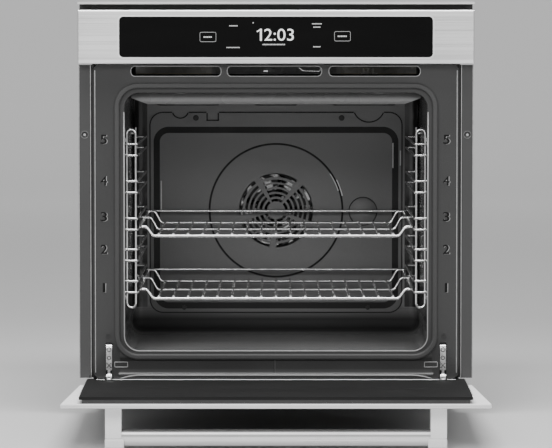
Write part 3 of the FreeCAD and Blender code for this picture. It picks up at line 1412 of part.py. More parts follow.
for build in (build_chassis_base, build_chassis_sides, build_chassis_top, build_chassis_back,
              build_front_frame,
              build_stiles, build_frame_screws, build_liner, build_insulation, build_gasket, build_baffle,
              build_baffle_screws, build_mouth_shield, build_elements,
              build_convection, build_lamp, build_probe_and_cutout, build_supports, build_racks, build_fascia,
              build_electronics, build_top_trim, build_duct, build_blower, build_inlet, build_hinges,
              build_door_skin, build_door_inside, build_handle):
    build()
check_document()
write_parts()
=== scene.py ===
"""Looks of a built-in wall oven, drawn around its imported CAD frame.  Metres."""
import math

import bmesh
import bpy
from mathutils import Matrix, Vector


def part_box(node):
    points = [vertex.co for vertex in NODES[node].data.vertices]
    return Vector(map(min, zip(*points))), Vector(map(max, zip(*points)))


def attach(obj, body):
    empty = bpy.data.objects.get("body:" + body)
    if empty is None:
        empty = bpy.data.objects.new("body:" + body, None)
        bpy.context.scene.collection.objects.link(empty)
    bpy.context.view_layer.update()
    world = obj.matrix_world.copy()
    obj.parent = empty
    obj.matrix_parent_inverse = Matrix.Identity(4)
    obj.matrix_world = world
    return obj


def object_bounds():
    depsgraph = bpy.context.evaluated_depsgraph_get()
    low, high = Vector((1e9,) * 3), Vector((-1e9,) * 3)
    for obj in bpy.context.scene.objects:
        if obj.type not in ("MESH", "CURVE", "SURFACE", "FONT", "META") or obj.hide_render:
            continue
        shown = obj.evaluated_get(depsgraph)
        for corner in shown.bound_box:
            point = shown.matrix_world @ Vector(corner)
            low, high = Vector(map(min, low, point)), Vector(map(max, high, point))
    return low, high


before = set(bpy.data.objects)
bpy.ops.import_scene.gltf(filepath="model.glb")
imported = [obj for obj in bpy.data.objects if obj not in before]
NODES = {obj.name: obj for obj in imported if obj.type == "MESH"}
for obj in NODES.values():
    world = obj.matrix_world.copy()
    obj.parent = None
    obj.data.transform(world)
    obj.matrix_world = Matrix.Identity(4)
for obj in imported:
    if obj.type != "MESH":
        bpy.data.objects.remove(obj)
CAD_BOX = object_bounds()
OVEN = "oven_body"
DOOR = "door"

LIP_DEPTH = 0.005
FRAME_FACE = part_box("front_frame")[0][1] + LIP_DEPTH
PANEL_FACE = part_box("control_fascia")[0][1]
PANEL_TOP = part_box("control_fascia")[1][2]
BACK_WALL = 0.158
SIDE_WALL = 0.21
FAN_CENTRE = sum(corner[2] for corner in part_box("convection_fan")) / 2
GLASS_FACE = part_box("control_glass")[0][1]
PRINT_LIFT = 0.00015
EVEN = (1.0, 1.0, 1.0)


# ---------------------------------------------------------------- materials

def new_material(name, colour, roughness, metallic=0.0):
    """Principled material with a neutral or tinted base, and its node tree."""
    material = bpy.data.materials.new(name)
    material.use_nodes = True
    shader = material.node_tree.nodes["Principled BSDF"]
    shader.inputs["Base Color"].default_value = (*colour, 1.0)
    shader.inputs["Roughness"].default_value = roughness
    shader.inputs["Metallic"].default_value = metallic
    return material, material.node_tree, shader


def grey(level):
    """Neutral colour of a level."""
    return (level, level, level)


def place_noise(tree, stretch, scale, detail=3.0, kind="ShaderNodeTexNoise"):
    """Noise over the object's own coordinates, stretched per axis."""
    coords = tree.nodes.new("ShaderNodeTexCoord")
    mapping = tree.nodes.new("ShaderNodeMapping")
    mapping.inputs["Scale"].default_value = stretch
    noise = tree.nodes.new(kind)
    noise.inputs["Scale"].default_value = scale
    if kind == "ShaderNodeTexNoise":
        noise.inputs["Detail"].default_value = detail
    tree.links.new(coords.outputs["Object"], mapping.inputs["Vector"])
    tree.links.new(mapping.outputs["Vector"], noise.inputs["Vector"])
    return noise


def spread(tree, source, low, high, start=0.3, end=0.7):
    """Remap a noise to a range of plain values."""
    remap = tree.nodes.new("ShaderNodeMapRange")
    remap.inputs["From Min"].default_value = start
    remap.inputs["From Max"].default_value = end
    remap.inputs["To Min"].default_value = low
    remap.inputs["To Max"].default_value = high
    tree.links.new(source, remap.inputs["Value"])
    return remap.outputs["Result"]


def tint(tree, source, dark, light, start=0.3, end=0.7):
    """Blend between two colours along a noise."""
    ramp = tree.nodes.new("ShaderNodeValToRGB")
    ramp.color_ramp.elements[0].position = start
    ramp.color_ramp.elements[0].color = (*dark, 1.0)
    ramp.color_ramp.elements[1].position = end
    ramp.color_ramp.elements[1].color = (*light, 1.0)
    tree.links.new(source, ramp.inputs["Fac"])
    return ramp.outputs["Color"]


def raise_bumps(tree, shader, source, height, strength=1.0):
    """Bump the surface along a noise."""
    bump = tree.nodes.new("ShaderNodeBump")
    bump.inputs["Distance"].default_value = height
    bump.inputs["Strength"].default_value = strength
    tree.links.new(source, bump.inputs["Height"])
    tree.links.new(bump.outputs["Normal"], shader.inputs["Normal"])


def object_axis(tree, axis):
    """One of the object's own coordinates, in metres of the shared frame."""
    coords = tree.nodes.new("ShaderNodeTexCoord")
    split = tree.nodes.new("ShaderNodeSeparateXYZ")
    tree.links.new(coords.outputs["Object"], split.inputs["Vector"])
    return split.outputs[axis]


def maths(tree, operation, first, second=0.0):
    """Math node on two sockets or numbers."""
    node = tree.nodes.new("ShaderNodeMath")
    node.operation = operation
    for socket, value in zip(node.inputs, (first, second)):
        if isinstance(value, (int, float)):
            socket.default_value = value
        else:
            tree.links.new(value, socket)
    return node.outputs["Value"]


def both(tree, first, second):
    """Where two masks are one."""
    return maths(tree, "MULTIPLY", first, second)


def kept_under(tree, value, top=1.0):
    """A value kept between nought and a top."""
    return maths(tree, "MINIMUM", maths(tree, "MAXIMUM", value, 0.0), top)


def between(tree, value, low, high):
    """One where a value lies between two numbers, nought elsewhere."""
    above = maths(tree, "GREATER_THAN", value, low)
    below = maths(tree, "LESS_THAN", value, high)
    return both(tree, above, below)


def distance_from(tree, x, z):
    """Distance from a line through (x, z) along Y."""
    across = maths(tree, "SUBTRACT", object_axis(tree, "X"), x)
    upward = maths(tree, "SUBTRACT", object_axis(tree, "Z"), z)
    squares = [maths(tree, "POWER", side, 2.0) for side in (across, upward)]
    return maths(tree, "SQRT", maths(tree, "ADD", *squares))


def distance_outside(tree, centre_z, half_x, half_z, corner):
    """Distance outside a rectangle with round corners that faces the front."""
    width = maths(tree, "ABSOLUTE", object_axis(tree, "X"))
    across = maths(tree, "SUBTRACT", width, half_x - corner)
    height = maths(tree, "ABSOLUTE", maths(tree, "SUBTRACT", object_axis(tree, "Z"), centre_z))
    upward = maths(tree, "SUBTRACT", height, half_z - corner)
    beyond = [maths(tree, "MAXIMUM", side, 0.0) for side in (across, upward)]
    squares = [maths(tree, "POWER", side, 2.0) for side in beyond]
    return maths(tree, "SUBTRACT", maths(tree, "SQRT", maths(tree, "ADD", *squares)), corner)


def paint_over(tree, shader, mask, colour):
    """Second colour where a mask is one."""
    base = shader.inputs["Base Color"]
    blend = tree.nodes.new("ShaderNodeMixRGB")
    blend.inputs["Color2"].default_value = (*colour, 1.0)
    tree.links.new(mask, blend.inputs["Fac"])
    tree.links.new(base.links[0].from_socket, blend.inputs["Color1"])
    tree.links.new(blend.outputs["Color"], base)


def brushed_steel(name, level, roughness, grain=(3.0, 700.0, 700.0), tone=0.06,
                  metallic=1.0, gloss=0.5):
    """Stainless sheet with fine grinding lines along one axis and faint handling marks."""
    material, tree, shader = new_material(name, grey(level), roughness, metallic)
    lines = place_noise(tree, grain, scale=1.0, detail=4.0).outputs["Fac"]
    blotch = place_noise(tree, EVEN, scale=7.0, detail=2.0).outputs["Fac"]
    dark, light = grey(level - tone), grey(level + tone * 0.6)
    colour = tint(tree, lines, dark, light, start=0.25, end=0.75)
    tree.links.new(colour, shader.inputs["Base Color"])
    ground = spread(tree, lines, roughness - 0.05, roughness + 0.07)
    handled = spread(tree, blotch, -0.03, 0.04)
    tree.links.new(maths(tree, "ADD", ground, handled), shader.inputs["Roughness"])
    raise_bumps(tree, shader, lines, height=0.00004, strength=0.35)
    shader.inputs["Specular IOR Level"].default_value = gloss
    return material


def enamel(name, level, roughness, speck=0.02, gloss=0.5, coat=0.3):
    """Fired enamel: glossy glaze, faint orange peel and tiny pale specks."""
    material, tree, shader = new_material(name, grey(level), roughness)
    specks = place_noise(tree, EVEN, scale=1600.0, detail=1.0).outputs["Fac"]
    peel = place_noise(tree, EVEN, scale=220.0, detail=2.0).outputs["Fac"]
    cloud = place_noise(tree, EVEN, scale=9.0, detail=2.0).outputs["Fac"]
    colour = tint(tree, specks, grey(level * 0.9), grey(level + speck), start=0.55, end=0.78)
    tree.links.new(colour, shader.inputs["Base Color"])
    glaze = spread(tree, cloud, roughness - 0.04, roughness + 0.05)
    tree.links.new(glaze, shader.inputs["Roughness"])
    raise_bumps(tree, shader, peel, height=0.00012, strength=0.35)
    shader.inputs["Specular IOR Level"].default_value = gloss
    shader.inputs["Coat Weight"].default_value = coat
    shader.inputs["Coat Roughness"].default_value = 0.12
    return material


def trimmed_steel(name, level, roughness):
    """Steel trim whose inner web, behind the panel and under its top, stays in shadow."""
    material = brushed_steel(name, level, roughness)
    tree = material.node_tree
    shader = tree.nodes["Principled BSDF"]
    web_start, top_skin, web_tone = 0.004, 0.0005, 0.05
    inner = maths(tree, "GREATER_THAN", object_axis(tree, "Y"), PANEL_FACE + web_start)
    below = maths(tree, "LESS_THAN", object_axis(tree, "Z"), CAD_BOX[1][2] - top_skin)
    paint_over(tree, shader, both(tree, inner, below), grey(web_tone))
    return material


def pressed_enamel(name, level, roughness):
    """Fan cover: painted shade in its border, ring groove and lamp seat, dark screw spots, painted
    light on its top and painted highlights.
    """
    material = enamel(name, level, roughness, speck=0.03, gloss=0.25, coat=0.0)
    tree = material.node_tree
    shader = tree.nodes["Principled BSDF"]
    across, upward = object_axis(tree, "X"), object_axis(tree, "Z")

    # painted shade along the sloped border of the pressing
    border_start, border_end, border_shade_tone = 0.0004, 0.0106, 0.008
    border = distance_outside(tree, centre_z=0.246, half_x=0.189, half_z=0.138, corner=0.014)
    paint_over(tree, shader, between(tree, border, border_start, border_end), grey(border_shade_tone))

    # painted shade in the ring groove round the fan
    ring_start, ring_end, ring_shade_tone = 0.1069, 0.1101, 0.003
    reach = distance_from(tree, 0.0, FAN_CENTRE)
    ring = between(tree, reach, ring_start, ring_end)
    paint_over(tree, shader, ring, grey(ring_shade_tone))

    # painted light: paler towards the top, away from the border and the ring
    pale_from, light_slope, most_light, painted_light_tone = 0.24, 4.4, 0.62, level * 1.9
    rise = maths(tree, "MULTIPLY", maths(tree, "SUBTRACT", upward, pale_from), light_slope)
    off_border = maths(tree, "SUBTRACT", 1.0, between(tree, border, border_start, border_end))
    off_ring = maths(tree, "SUBTRACT", 1.0, ring)
    pale = both(tree, kept_under(tree, rise, most_light), both(tree, off_border, off_ring))
    paint_over(tree, shader, pale, grey(painted_light_tone))

    spot_z, spot_radius, spot_tone = 0.409, 0.0046, 0.012
    for spot_x in (-0.1305, 0.1070):
        spot = maths(tree, "LESS_THAN", distance_from(tree, spot_x, spot_z), spot_radius)
        paint_over(tree, shader, spot, grey(spot_tone))

    # painted highlights: glints along the border edges and on the ring
    glint_tone = 0.85
    border_glints = (
        (0.1898, 0.1916, 0.3273, 0.3681),
        (0.2019, 0.2038, 0.3313, 0.3558),
        (-0.1880, -0.1866, 0.2574, 0.3064),
    )
    for low_x, high_x, low_z, high_z in border_glints:
        columns = between(tree, across, low_x, high_x)
        glint = both(tree, columns, between(tree, upward, low_z, high_z))
        paint_over(tree, shader, glint, grey(glint_tone))
    right = maths(tree, "GREATER_THAN", across, 0.0)
    ring_glints = ((0.1056, 0.1072, 0.290, 0.318), (0.1098, 0.1116, 0.282, 0.308))
    for low, high, low_z, high_z in ring_glints:
        arc = both(tree, right, between(tree, upward, low_z, high_z))
        glint = both(tree, arc, between(tree, reach, low, high))
        paint_over(tree, shader, glint, grey(glint_tone))

    # painted shade in the gap round the lamp lens
    lamp_x, lamp_z, seat_start, seat_end, seat_shade_tone = 0.142, 0.2565, 0.0215, 0.0236, 0.006
    seat = between(tree, distance_from(tree, lamp_x, lamp_z), seat_start, seat_end)
    paint_over(tree, shader, seat, grey(seat_shade_tone))
    return material


def shaded_liner(name, level, roughness):
    """Glossy liner enamel: painted shade low down at the back, and side walls in painted shade with
    streaks of painted reflection.
    """
    material = enamel(name, level, roughness, speck=0.03, gloss=0.6, coat=0.0)
    tree = material.node_tree
    shader = tree.nodes["Principled BSDF"]

    # painted shade low down at the back of the liner, made rougher there too
    shade_start_y, shade_deepens, shade_top_z, shade_falls = 0.03, 12.0, 0.105, 40.0
    low_shade_tone, low_shade_roughness = 0.022, 0.75
    behind = maths(tree, "SUBTRACT", object_axis(tree, "Y"), shade_start_y)
    under = maths(tree, "SUBTRACT", shade_top_z, object_axis(tree, "Z"))
    deepened = kept_under(tree, maths(tree, "MULTIPLY", behind, shade_deepens))
    painted_shade = both(tree, deepened, kept_under(tree, maths(tree, "MULTIPLY", under, shade_falls)))
    paint_over(tree, shader, painted_shade, grey(low_shade_tone))
    glaze = shader.inputs["Roughness"].links[0].from_socket
    dulled = maths(tree, "MULTIPLY", painted_shade, low_shade_roughness)
    tree.links.new(maths(tree, "MAXIMUM", glaze, dulled), shader.inputs["Roughness"])

    # painted shade on the side walls, with streaks of painted reflection
    floor_z, wall_shade_tone, streak_reflection_tone = 0.1, 0.03, 0.16
    width = maths(tree, "ABSOLUTE", object_axis(tree, "X"))
    side = maths(tree, "GREATER_THAN", width, SIDE_WALL)
    wall = both(tree, side, maths(tree, "GREATER_THAN", object_axis(tree, "Z"), floor_z))
    paint_over(tree, shader, wall, grey(wall_shade_tone))
    streaks = place_noise(tree, (1.0, 9.0, 1.0), scale=16.0, detail=2.0).outputs["Fac"]
    painted_highlights = spread(tree, streaks, 0.0, 1.0, start=0.55, end=0.75)
    paint_over(tree, shader, both(tree, wall, painted_highlights), grey(streak_reflection_tone))
    return material


def gutter_enamel(name, level, roughness):
    """Enamel of the front frame: painted shade and light across the folded gutter, and painted
    shade and highlight lines along a pressed seam under the mouth.
    """
    material = enamel(name, level, roughness)
    tree = material.node_tree
    shader = tree.nodes["Principled BSDF"]
    across, upward = object_axis(tree, "X"), object_axis(tree, "Z")
    shaded, lit, bright = level * 0.2, level * 1.6, level * 3.0

    gutter_half = 0.236
    inside = between(tree, across, -gutter_half, gutter_half)
    # painted shade and painted light bands across the gutter folds
    folds = ((0.0525, 0.0578, shaded), (0.0310, 0.0400, lit), (0.0600, 0.0672, lit))
    for low, high, tone in folds:
        fold = both(tree, inside, between(tree, upward, low, high))
        paint_over(tree, shader, fold, grey(tone))

    seam_bottom, seam_top = 0.0300, 0.0690
    seam = between(tree, upward, seam_bottom, seam_top)
    # a painted shade line and a painted highlight line along the seam
    for low, high, tone in ((-0.0034, -0.0022, shaded), (-0.0022, -0.0010, bright)):
        line = both(tree, seam, between(tree, across, low, high))
        paint_over(tree, shader, line, grey(tone))
    return material


def framed_steel(name, level, roughness):
    """Panel steel with a painted highlight round the glass and painted highlights on its upper and
    lower folds.
    """
    material = brushed_steel(name, level, roughness, tone=0.04)
    tree = material.node_tree
    shader = tree.nodes["Principled BSDF"]
    # painted highlights round the glass window and along the folds
    highlight_width, highlight_tone, fold_highlight_tone = 0.0022, 1.0, 0.97
    around = distance_outside(tree, centre_z=0.5423, half_x=0.2353, half_z=0.0305, corner=0.006)
    edge_highlight = between(tree, around, 0.0, highlight_width)
    paint_over(tree, shader, edge_highlight, grey(highlight_tone))
    upward = object_axis(tree, "Z")
    for low, high in ((0.5017, 0.5085), (0.5795, 0.5830)):
        paint_over(tree, shader, between(tree, upward, low, high), grey(fold_highlight_tone))
    return material


def banded_steel(name, level, roughness):
    """Bar steel with a band of painted shade on its upper bevel and two fainter lines of painted
    shade under it.
    """
    material = brushed_steel(name, level, roughness, tone=0.03, metallic=0.6)
    tree = material.node_tree
    shader = tree.nodes["Principled BSDF"]
    upward = object_axis(tree, "Z")
    # painted shade bands on the bevel and under it
    shade_bands = ((-0.0048, 0.0, 0.22), (-0.0110, -0.0084, 0.55), (-0.0122, -0.0110, 0.75))
    for low, high, tone in shade_bands:
        paint_over(tree, shader, between(tree, upward, low, high), grey(tone))
    return material


def dark_fan_with_highlights(name):
    """Fan sheet: dark, with patches of painted highlight."""
    fan_dark, painted_highlights = grey(0.03), grey(0.9)
    material = brushed_steel(name, 0.45, 0.3, grain=(200.0, 200.0, 200.0), metallic=0.6)
    tree = material.node_tree
    shader = tree.nodes["Principled BSDF"]
    # painted highlights: bright patches on the dark fan sheet
    highlight_patches = place_noise(tree, EVEN, scale=62.0, detail=1.5).outputs["Fac"]
    colour = tint(tree, highlight_patches, fan_dark, painted_highlights, start=0.52, end=0.60)
    tree.links.new(colour, shader.inputs["Base Color"])
    return material


def plated_wire(name, level, roughness):
    """Bright chrome plate on wire, with slight ripples and heat bloom."""
    material, tree, shader = new_material(name, grey(level), roughness, metallic=1.0)
    ripple = place_noise(tree, EVEN, scale=90.0, detail=2.0).outputs["Fac"]
    polish = spread(tree, ripple, roughness - 0.04, roughness + 0.09)
    tree.links.new(polish, shader.inputs["Roughness"])
    colour = tint(tree, ripple, grey(level - 0.1), grey(level), start=0.3, end=0.6)
    tree.links.new(colour, shader.inputs["Base Color"])
    raise_bumps(tree, shader, ripple, height=0.0002, strength=0.25)
    return material


def dark_glass(name, level, roughness=0.05, gloss=0.5):
    """Back-printed black glass with faint smears in its gloss."""
    material, tree, shader = new_material(name, grey(level), roughness)
    smear = place_noise(tree, (2.0, 5.0, 9.0), scale=3.0, detail=4.0).outputs["Fac"]
    tree.links.new(spread(tree, smear, roughness, roughness + 0.05), shader.inputs["Roughness"])
    colour = tint(tree, smear, grey(level), grey(level * 1.4))
    tree.links.new(colour, shader.inputs["Base Color"])
    shader.inputs["IOR"].default_value = 1.5
    shader.inputs["Specular IOR Level"].default_value = gloss
    return material


def clear_glass(name, level, clearness, roughness=0.09):
    """Pressed lamp glass, slightly wavy."""
    material, tree, shader = new_material(name, grey(level), roughness)
    wave = place_noise(tree, EVEN, scale=160.0, detail=2.0).outputs["Fac"]
    raise_bumps(tree, shader, wave, height=0.0004, strength=0.5)
    gloss = spread(tree, wave, roughness - 0.05, roughness + 0.05)
    tree.links.new(gloss, shader.inputs["Roughness"])
    shader.inputs["Transmission Weight"].default_value = clearness
    shader.inputs["IOR"].default_value = 1.47
    return material


def moulded(name, level, roughness, scale=500.0, depth=0.0001):
    """Plastic or rubber with a fine moulded grain."""
    material, tree, shader = new_material(name, grey(level), roughness)
    grain = place_noise(tree, EVEN, scale, detail=3.0).outputs["Fac"]
    colour = tint(tree, grain, grey(level * 0.7), grey(level * 1.3))
    tree.links.new(colour, shader.inputs["Base Color"])
    dullness = spread(tree, grain, roughness - 0.08, roughness + 0.08)
    tree.links.new(dullness, shader.inputs["Roughness"])
    raise_bumps(tree, shader, grain, depth, strength=0.6)
    return material


def spangled_zinc(name, level, roughness):
    """Galvanised sheet with crystal spangle."""
    material, tree, shader = new_material(name, grey(level), roughness, metallic=1.0)
    spangle = place_noise(tree, EVEN, scale=110.0, kind="ShaderNodeTexVoronoi").outputs
    fine = place_noise(tree, EVEN, scale=900.0, detail=2.0).outputs["Fac"]
    dark, light = grey(level - 0.12), grey(level + 0.06)
    colour = tint(tree, spangle["Color"], dark, light, start=0.1, end=0.9)
    tree.links.new(colour, shader.inputs["Base Color"])
    dull, duller = roughness - 0.05, roughness + 0.1
    crystal = spread(tree, spangle["Distance"], dull, duller, start=0.0, end=1.0)
    tree.links.new(crystal, shader.inputs["Roughness"])
    raise_bumps(tree, shader, fine, height=0.00003, strength=0.3)
    return material


def mineral_wool(name):
    """Yellowish slab of matted fibre."""
    shaded, lit = (0.45, 0.38, 0.26), (0.75, 0.7, 0.55)
    material, tree, shader = new_material(name, (0.62, 0.55, 0.4), roughness=0.95)
    fibre = place_noise(tree, (1.0, 1.0, 6.0), scale=140.0, detail=6.0).outputs["Fac"]
    tree.links.new(tint(tree, fibre, shaded, lit), shader.inputs["Base Color"])
    raise_bumps(tree, shader, fibre, height=0.002, strength=0.9)
    return material


def printed_light(name, level, strength):
    """Display print: pale, with a little light of its own."""
    material, tree, shader = new_material(name, grey(level), roughness=0.4)
    grain = place_noise(tree, EVEN, scale=2500.0, detail=1.0).outputs["Fac"]
    colour = tint(tree, grain, grey(level * 0.85), grey(level))
    tree.links.new(colour, shader.inputs["Base Color"])
    shader.inputs["Emission Color"].default_value = (*grey(1.0), 1.0)
    shader.inputs["Emission Strength"].default_value = strength
    return material


def circuit_board(name):
    """Green board with a mottle of tracks."""
    gaps, copper = (0.01, 0.09, 0.04), (0.03, 0.2, 0.09)
    material, tree, shader = new_material(name, (0.02, 0.16, 0.07), roughness=0.4)
    tracks = place_noise(tree, EVEN, scale=160.0, kind="ShaderNodeTexVoronoi")
    colour = tint(tree, tracks.outputs["Distance"], gaps, copper)
    tree.links.new(colour, shader.inputs["Base Color"])
    return material


MATERIALS = {
    "fascia_steel": framed_steel("fascia_steel", 0.84, 0.34),
    "door_steel": brushed_steel("door_steel", 0.9, 0.38, tone=0.03),
    "handle_steel": banded_steel("handle_steel", 0.97, 0.3),
    "bracket_steel": brushed_steel("bracket_steel", 0.99, 0.36, (700.0, 3.0, 700.0), 0.06, 0.2),
    "cap_steel": brushed_steel("cap_steel", 0.98, 0.3, (900.0, 3.0, 3.0), 0.02, 0.1),
    "trim_steel": trimmed_steel("trim_steel", 0.85, 0.3),
    "stile_paint": enamel("stile_paint", 0.037, 0.38, 0.01),
    "frame_enamel": gutter_enamel("frame_enamel", 0.026, 0.32),
    "liner_enamel": shaded_liner("liner_enamel", 0.26, 0.16),
    "baffle_enamel": pressed_enamel("baffle_enamel", 0.2, 0.4),
    "rolled_enamel": enamel("rolled_enamel", 0.19, 0.25, 0.03),
    # painted highlight enamel for bright rims, beads and glints
    "highlight_enamel": enamel("highlight_enamel", 0.32, 0.2, 0.03),
    # painted shade: dark sheets and masks where shade falls
    "painted_shade": enamel("painted_shade", 0.004, 0.7, 0.002),
    "chrome_wire": plated_wire("chrome_wire", 0.97, 0.17),
    "panel_glass": dark_glass("panel_glass", 0.003, 0.06, 0.12),
    "door_glass": dark_glass("door_glass", 0.014, 0.55, 0.03),
    "lens_glass": clear_glass("lens_glass", 0.2, 0.0, 0.5),
    "bulb_glass": clear_glass("bulb_glass", 0.8, 0.7),
    "flange_steel": brushed_steel("flange_steel", 0.98, 0.5, tone=0.02, metallic=0.0, gloss=0.1),
    "dark_screw": moulded("dark_screw", 0.02, 0.4),
    "fold_steel": brushed_steel("fold_steel", 0.5, 0.35, (300.0, 300.0, 300.0), 0.05),
    "seal_rubber": moulded("seal_rubber", 0.035, 0.6, 700.0, 0.0002),
    "black_plastic": moulded("black_plastic", 0.02, 0.5),
    "galvanised": spangled_zinc("galvanised", 0.62, 0.38),
    "zinc": spangled_zinc("zinc", 0.88, 0.26),
    "fan_metal": dark_fan_with_highlights("fan_metal"),
    "motor_metal": brushed_steel("motor_metal", 0.7, 0.35, (200.0, 200.0, 200.0)),
    "duct_black": moulded("duct_black", 0.012, 0.7),
    "print_black": dark_glass("print_black", 0.012, 0.8, 0.0),
    "element_coat": moulded("element_coat", 0.05, 0.55, 900.0, 0.00008),
    "wool": mineral_wool("wool"),
    "board": circuit_board("board"),
    "display_print": printed_light("display_print", 0.75, 0.55),
    "key_print": printed_light("key_print", 0.4, 0.10),
    "word_print": printed_light("word_print", 0.55, 0.30),
    "bright_edge": brushed_steel("bright_edge", 0.9, 0.25, (300.0, 300.0, 300.0), 0.03),
}

NODE_MATERIALS = {
    "fascia_steel": ("control_fascia",),
    "trim_steel": ("top_trim",),
    "door_steel": ("door_skin",),
    "flange_steel": ("door_inner_panel",),
    "handle_steel": ("handle_bar",),
    "bracket_steel": ("handle_bracket_left", "handle_bracket_right"),
    "cap_steel": ("handle_end_caps",),
    "stile_paint": ("mounting_stile_left", "mounting_stile_right"),
    "frame_enamel": ("front_frame",),
    "liner_enamel": ("cavity_liner",),
    "baffle_enamel": ("fan_baffle",),
    "rolled_enamel": ("grill_shield",),
    "chrome_wire": ("upper_rack", "lower_rack", "rack_support_left", "rack_support_right",
                    "support_studs"),
    "panel_glass": ("control_glass",),
    "door_glass": ("door_window", "inner_glass"),
    "lens_glass": ("lamp_lens",),
    "bulb_glass": ("lamp_bulb",),
    "dark_screw": ("baffle_screws", "frame_screws"),
    "seal_rubber": ("door_gasket",),
    "black_plastic": ("display_module", "terminal_block", "glass_rails"),
    "galvanised": ("chassis_base", "chassis_side_left", "chassis_side_right", "chassis_top",
                   "chassis_back", "blower_housing", "hinge_receiver_left",
                   "hinge_receiver_right", "lamp_housing"),
    "zinc": ("hinge_arm_left", "hinge_arm_right", "hinge_channel_left", "hinge_channel_right",
             "hinge_pins", "hinge_springs", "handle_screws", "fan_nut", "thermal_cutout",
             "temperature_probe", "conduit_fitting"),
    "fan_metal": ("convection_fan",),
    "motor_metal": ("cooling_impeller", "convection_motor", "blower_motor"),
    "duct_black": ("air_duct",),
    "element_coat": ("ring_element", "grill_element", "bake_element"),
    "wool": ("insulation_wrap",),
    "board": ("control_board",),
}


def dress_nodes():
    """Give every CAD node its material."""
    for material, names in NODE_MATERIALS.items():
        for name in names:
            node = NODES[name]
            node.data.materials.clear()
            node.data.materials.append(MATERIALS[material])


# ---------------------------------------------------------------- mesh helpers

def finish_piece(piece, body, material, smooth=True):
    """Material, smooth shading and body of a new piece."""
    piece.data.materials.clear()
    piece.data.materials.append(MATERIALS[material])
    if smooth:
        for polygon in piece.data.polygons:
            polygon.use_smooth = True
    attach(piece, body)
    return piece


def mesh_object(name, build):
    """New object whose mesh a function fills in."""
    mesh = bpy.data.meshes.new(name)
    shape = bmesh.new()
    build(shape)
    bmesh.ops.recalc_face_normals(shape, faces=shape.faces)
    shape.to_mesh(mesh)
    shape.free()
    piece = bpy.data.objects.new(name, mesh)
    bpy.context.scene.collection.objects.link(piece)
    return piece


def rounded_loop(width, height, radius, steps=8):
    """Points of a rectangle with round corners, centred, anticlockwise."""
    points = []
    corners = ((1, -1, -90), (1, 1, 0), (-1, 1, 90), (-1, -1, 180))
    for sx, sy, start in corners:
        cx = sx * (width / 2 - radius)
        cy = sy * (height / 2 - radius)
        for step in range(steps + 1):
            angle = math.radians(start + 90 * step / steps)
            points.append((cx + radius * math.cos(angle), cy + radius * math.sin(angle)))
    return points


def tube_along(shape, points, radius, closed=True, sides=8, flatten=1.0):
    """Bead swept along 3D points, round unless flattened."""
    count = len(points)
    rings = []
    for index, point in enumerate(points):
        before = points[index - 1] if (index or closed) else point
        after = points[(index + 1) % count] if (index < count - 1 or closed) else point
        along = (Vector(after) - Vector(before)).normalized()
        side = along.cross(Vector((0, 1, 0)))
        side = side.normalized() if side.length > 1e-6 else Vector((1, 0, 0))
        up = side.cross(along).normalized()
        ring = []
        for step in range(sides):
            angle = 2 * math.pi * step / sides
            offset = side * math.cos(angle) * radius
            offset += up * math.sin(angle) * radius * flatten
            ring.append(shape.verts.new(Vector(point) + offset))
        rings.append(ring)
    last = count if closed else count - 1
    for index in range(last):
        here, there = rings[index], rings[(index + 1) % count]
        for step in range(sides):
            turn = (step + 1) % sides
            shape.faces.new((here[step], here[turn], there[turn], there[step]))
    if not closed:
        shape.faces.new(rings[0])
        shape.faces.new(rings[-1])


def circle_points(x, y, z, radius, count):
    """Points of a circle that faces the front."""
    angles = [2 * math.pi * n / count for n in range(count)]
    return [(x + radius * math.cos(a), y, z + radius * math.sin(a)) for a in angles]


def raised_box(shape, low, high, chamfer=0.0):
    """Box whose front (low Y) edges are chamfered."""
    (x0, y0, z0), (x1, y1, z1) = low, high

    def outline(y, inset):
        left, right, bottom, top = x0 + inset, x1 - inset, z0 + inset, z1 - inset
        points = ((left, y, bottom), (right, y, bottom), (right, y, top), (left, y, top))
        return [shape.verts.new(point) for point in points]

    back, rim, front = outline(y1, 0.0), outline(y0 + chamfer, 0.0), outline(y0, chamfer)
    shape.faces.new(back)
    shape.faces.new(front)
    for side in range(4):
        turn = (side + 1) % 4
        shape.faces.new((back[side], back[turn], rim[turn], rim[side]))
        shape.faces.new((rim[side], rim[turn], front[turn], front[side]))


# ---------------------------------------------------------------- control panel print

CLOCK_LOW, CLOCK_HIGH = 0.5367, 0.5545
PRINT_FACE = GLASS_FACE - PRINT_LIFT
PRINT_SHEET = 0.0001


def text_mesh(name, letters, low, high, depth, face, bevel=0.0):
    """Figures stretched to a box that faces the front, centred in depth on a face."""
    curve = bpy.data.curves.new(name, "FONT")
    curve.body = letters
    curve.extrude = depth / 2
    curve.bevel_depth = bevel
    curve.bevel_resolution = 2
    curve.resolution_u = 6
    holder = bpy.data.objects.new(name, curve)
    bpy.context.scene.collection.objects.link(holder)
    bpy.context.view_layer.update()
    graph = bpy.context.evaluated_depsgraph_get()
    mesh = bpy.data.meshes.new_from_object(holder.evaluated_get(graph))
    bpy.data.objects.remove(holder)
    xs = [vertex.co.x for vertex in mesh.vertices]
    ys = [vertex.co.y for vertex in mesh.vertices]
    thick = max(vertex.co.z for vertex in mesh.vertices) * 2
    scale_x = (high[0] - low[0]) / (max(xs) - min(xs))
    scale_z = (high[1] - low[1]) / (max(ys) - min(ys))
    for vertex in mesh.vertices:
        x, y, z = vertex.co
        across = low[0] + (x - min(xs)) * scale_x
        upward = low[1] + (y - min(ys)) * scale_z
        vertex.co = (across, face - z * depth / thick, upward)
    return mesh


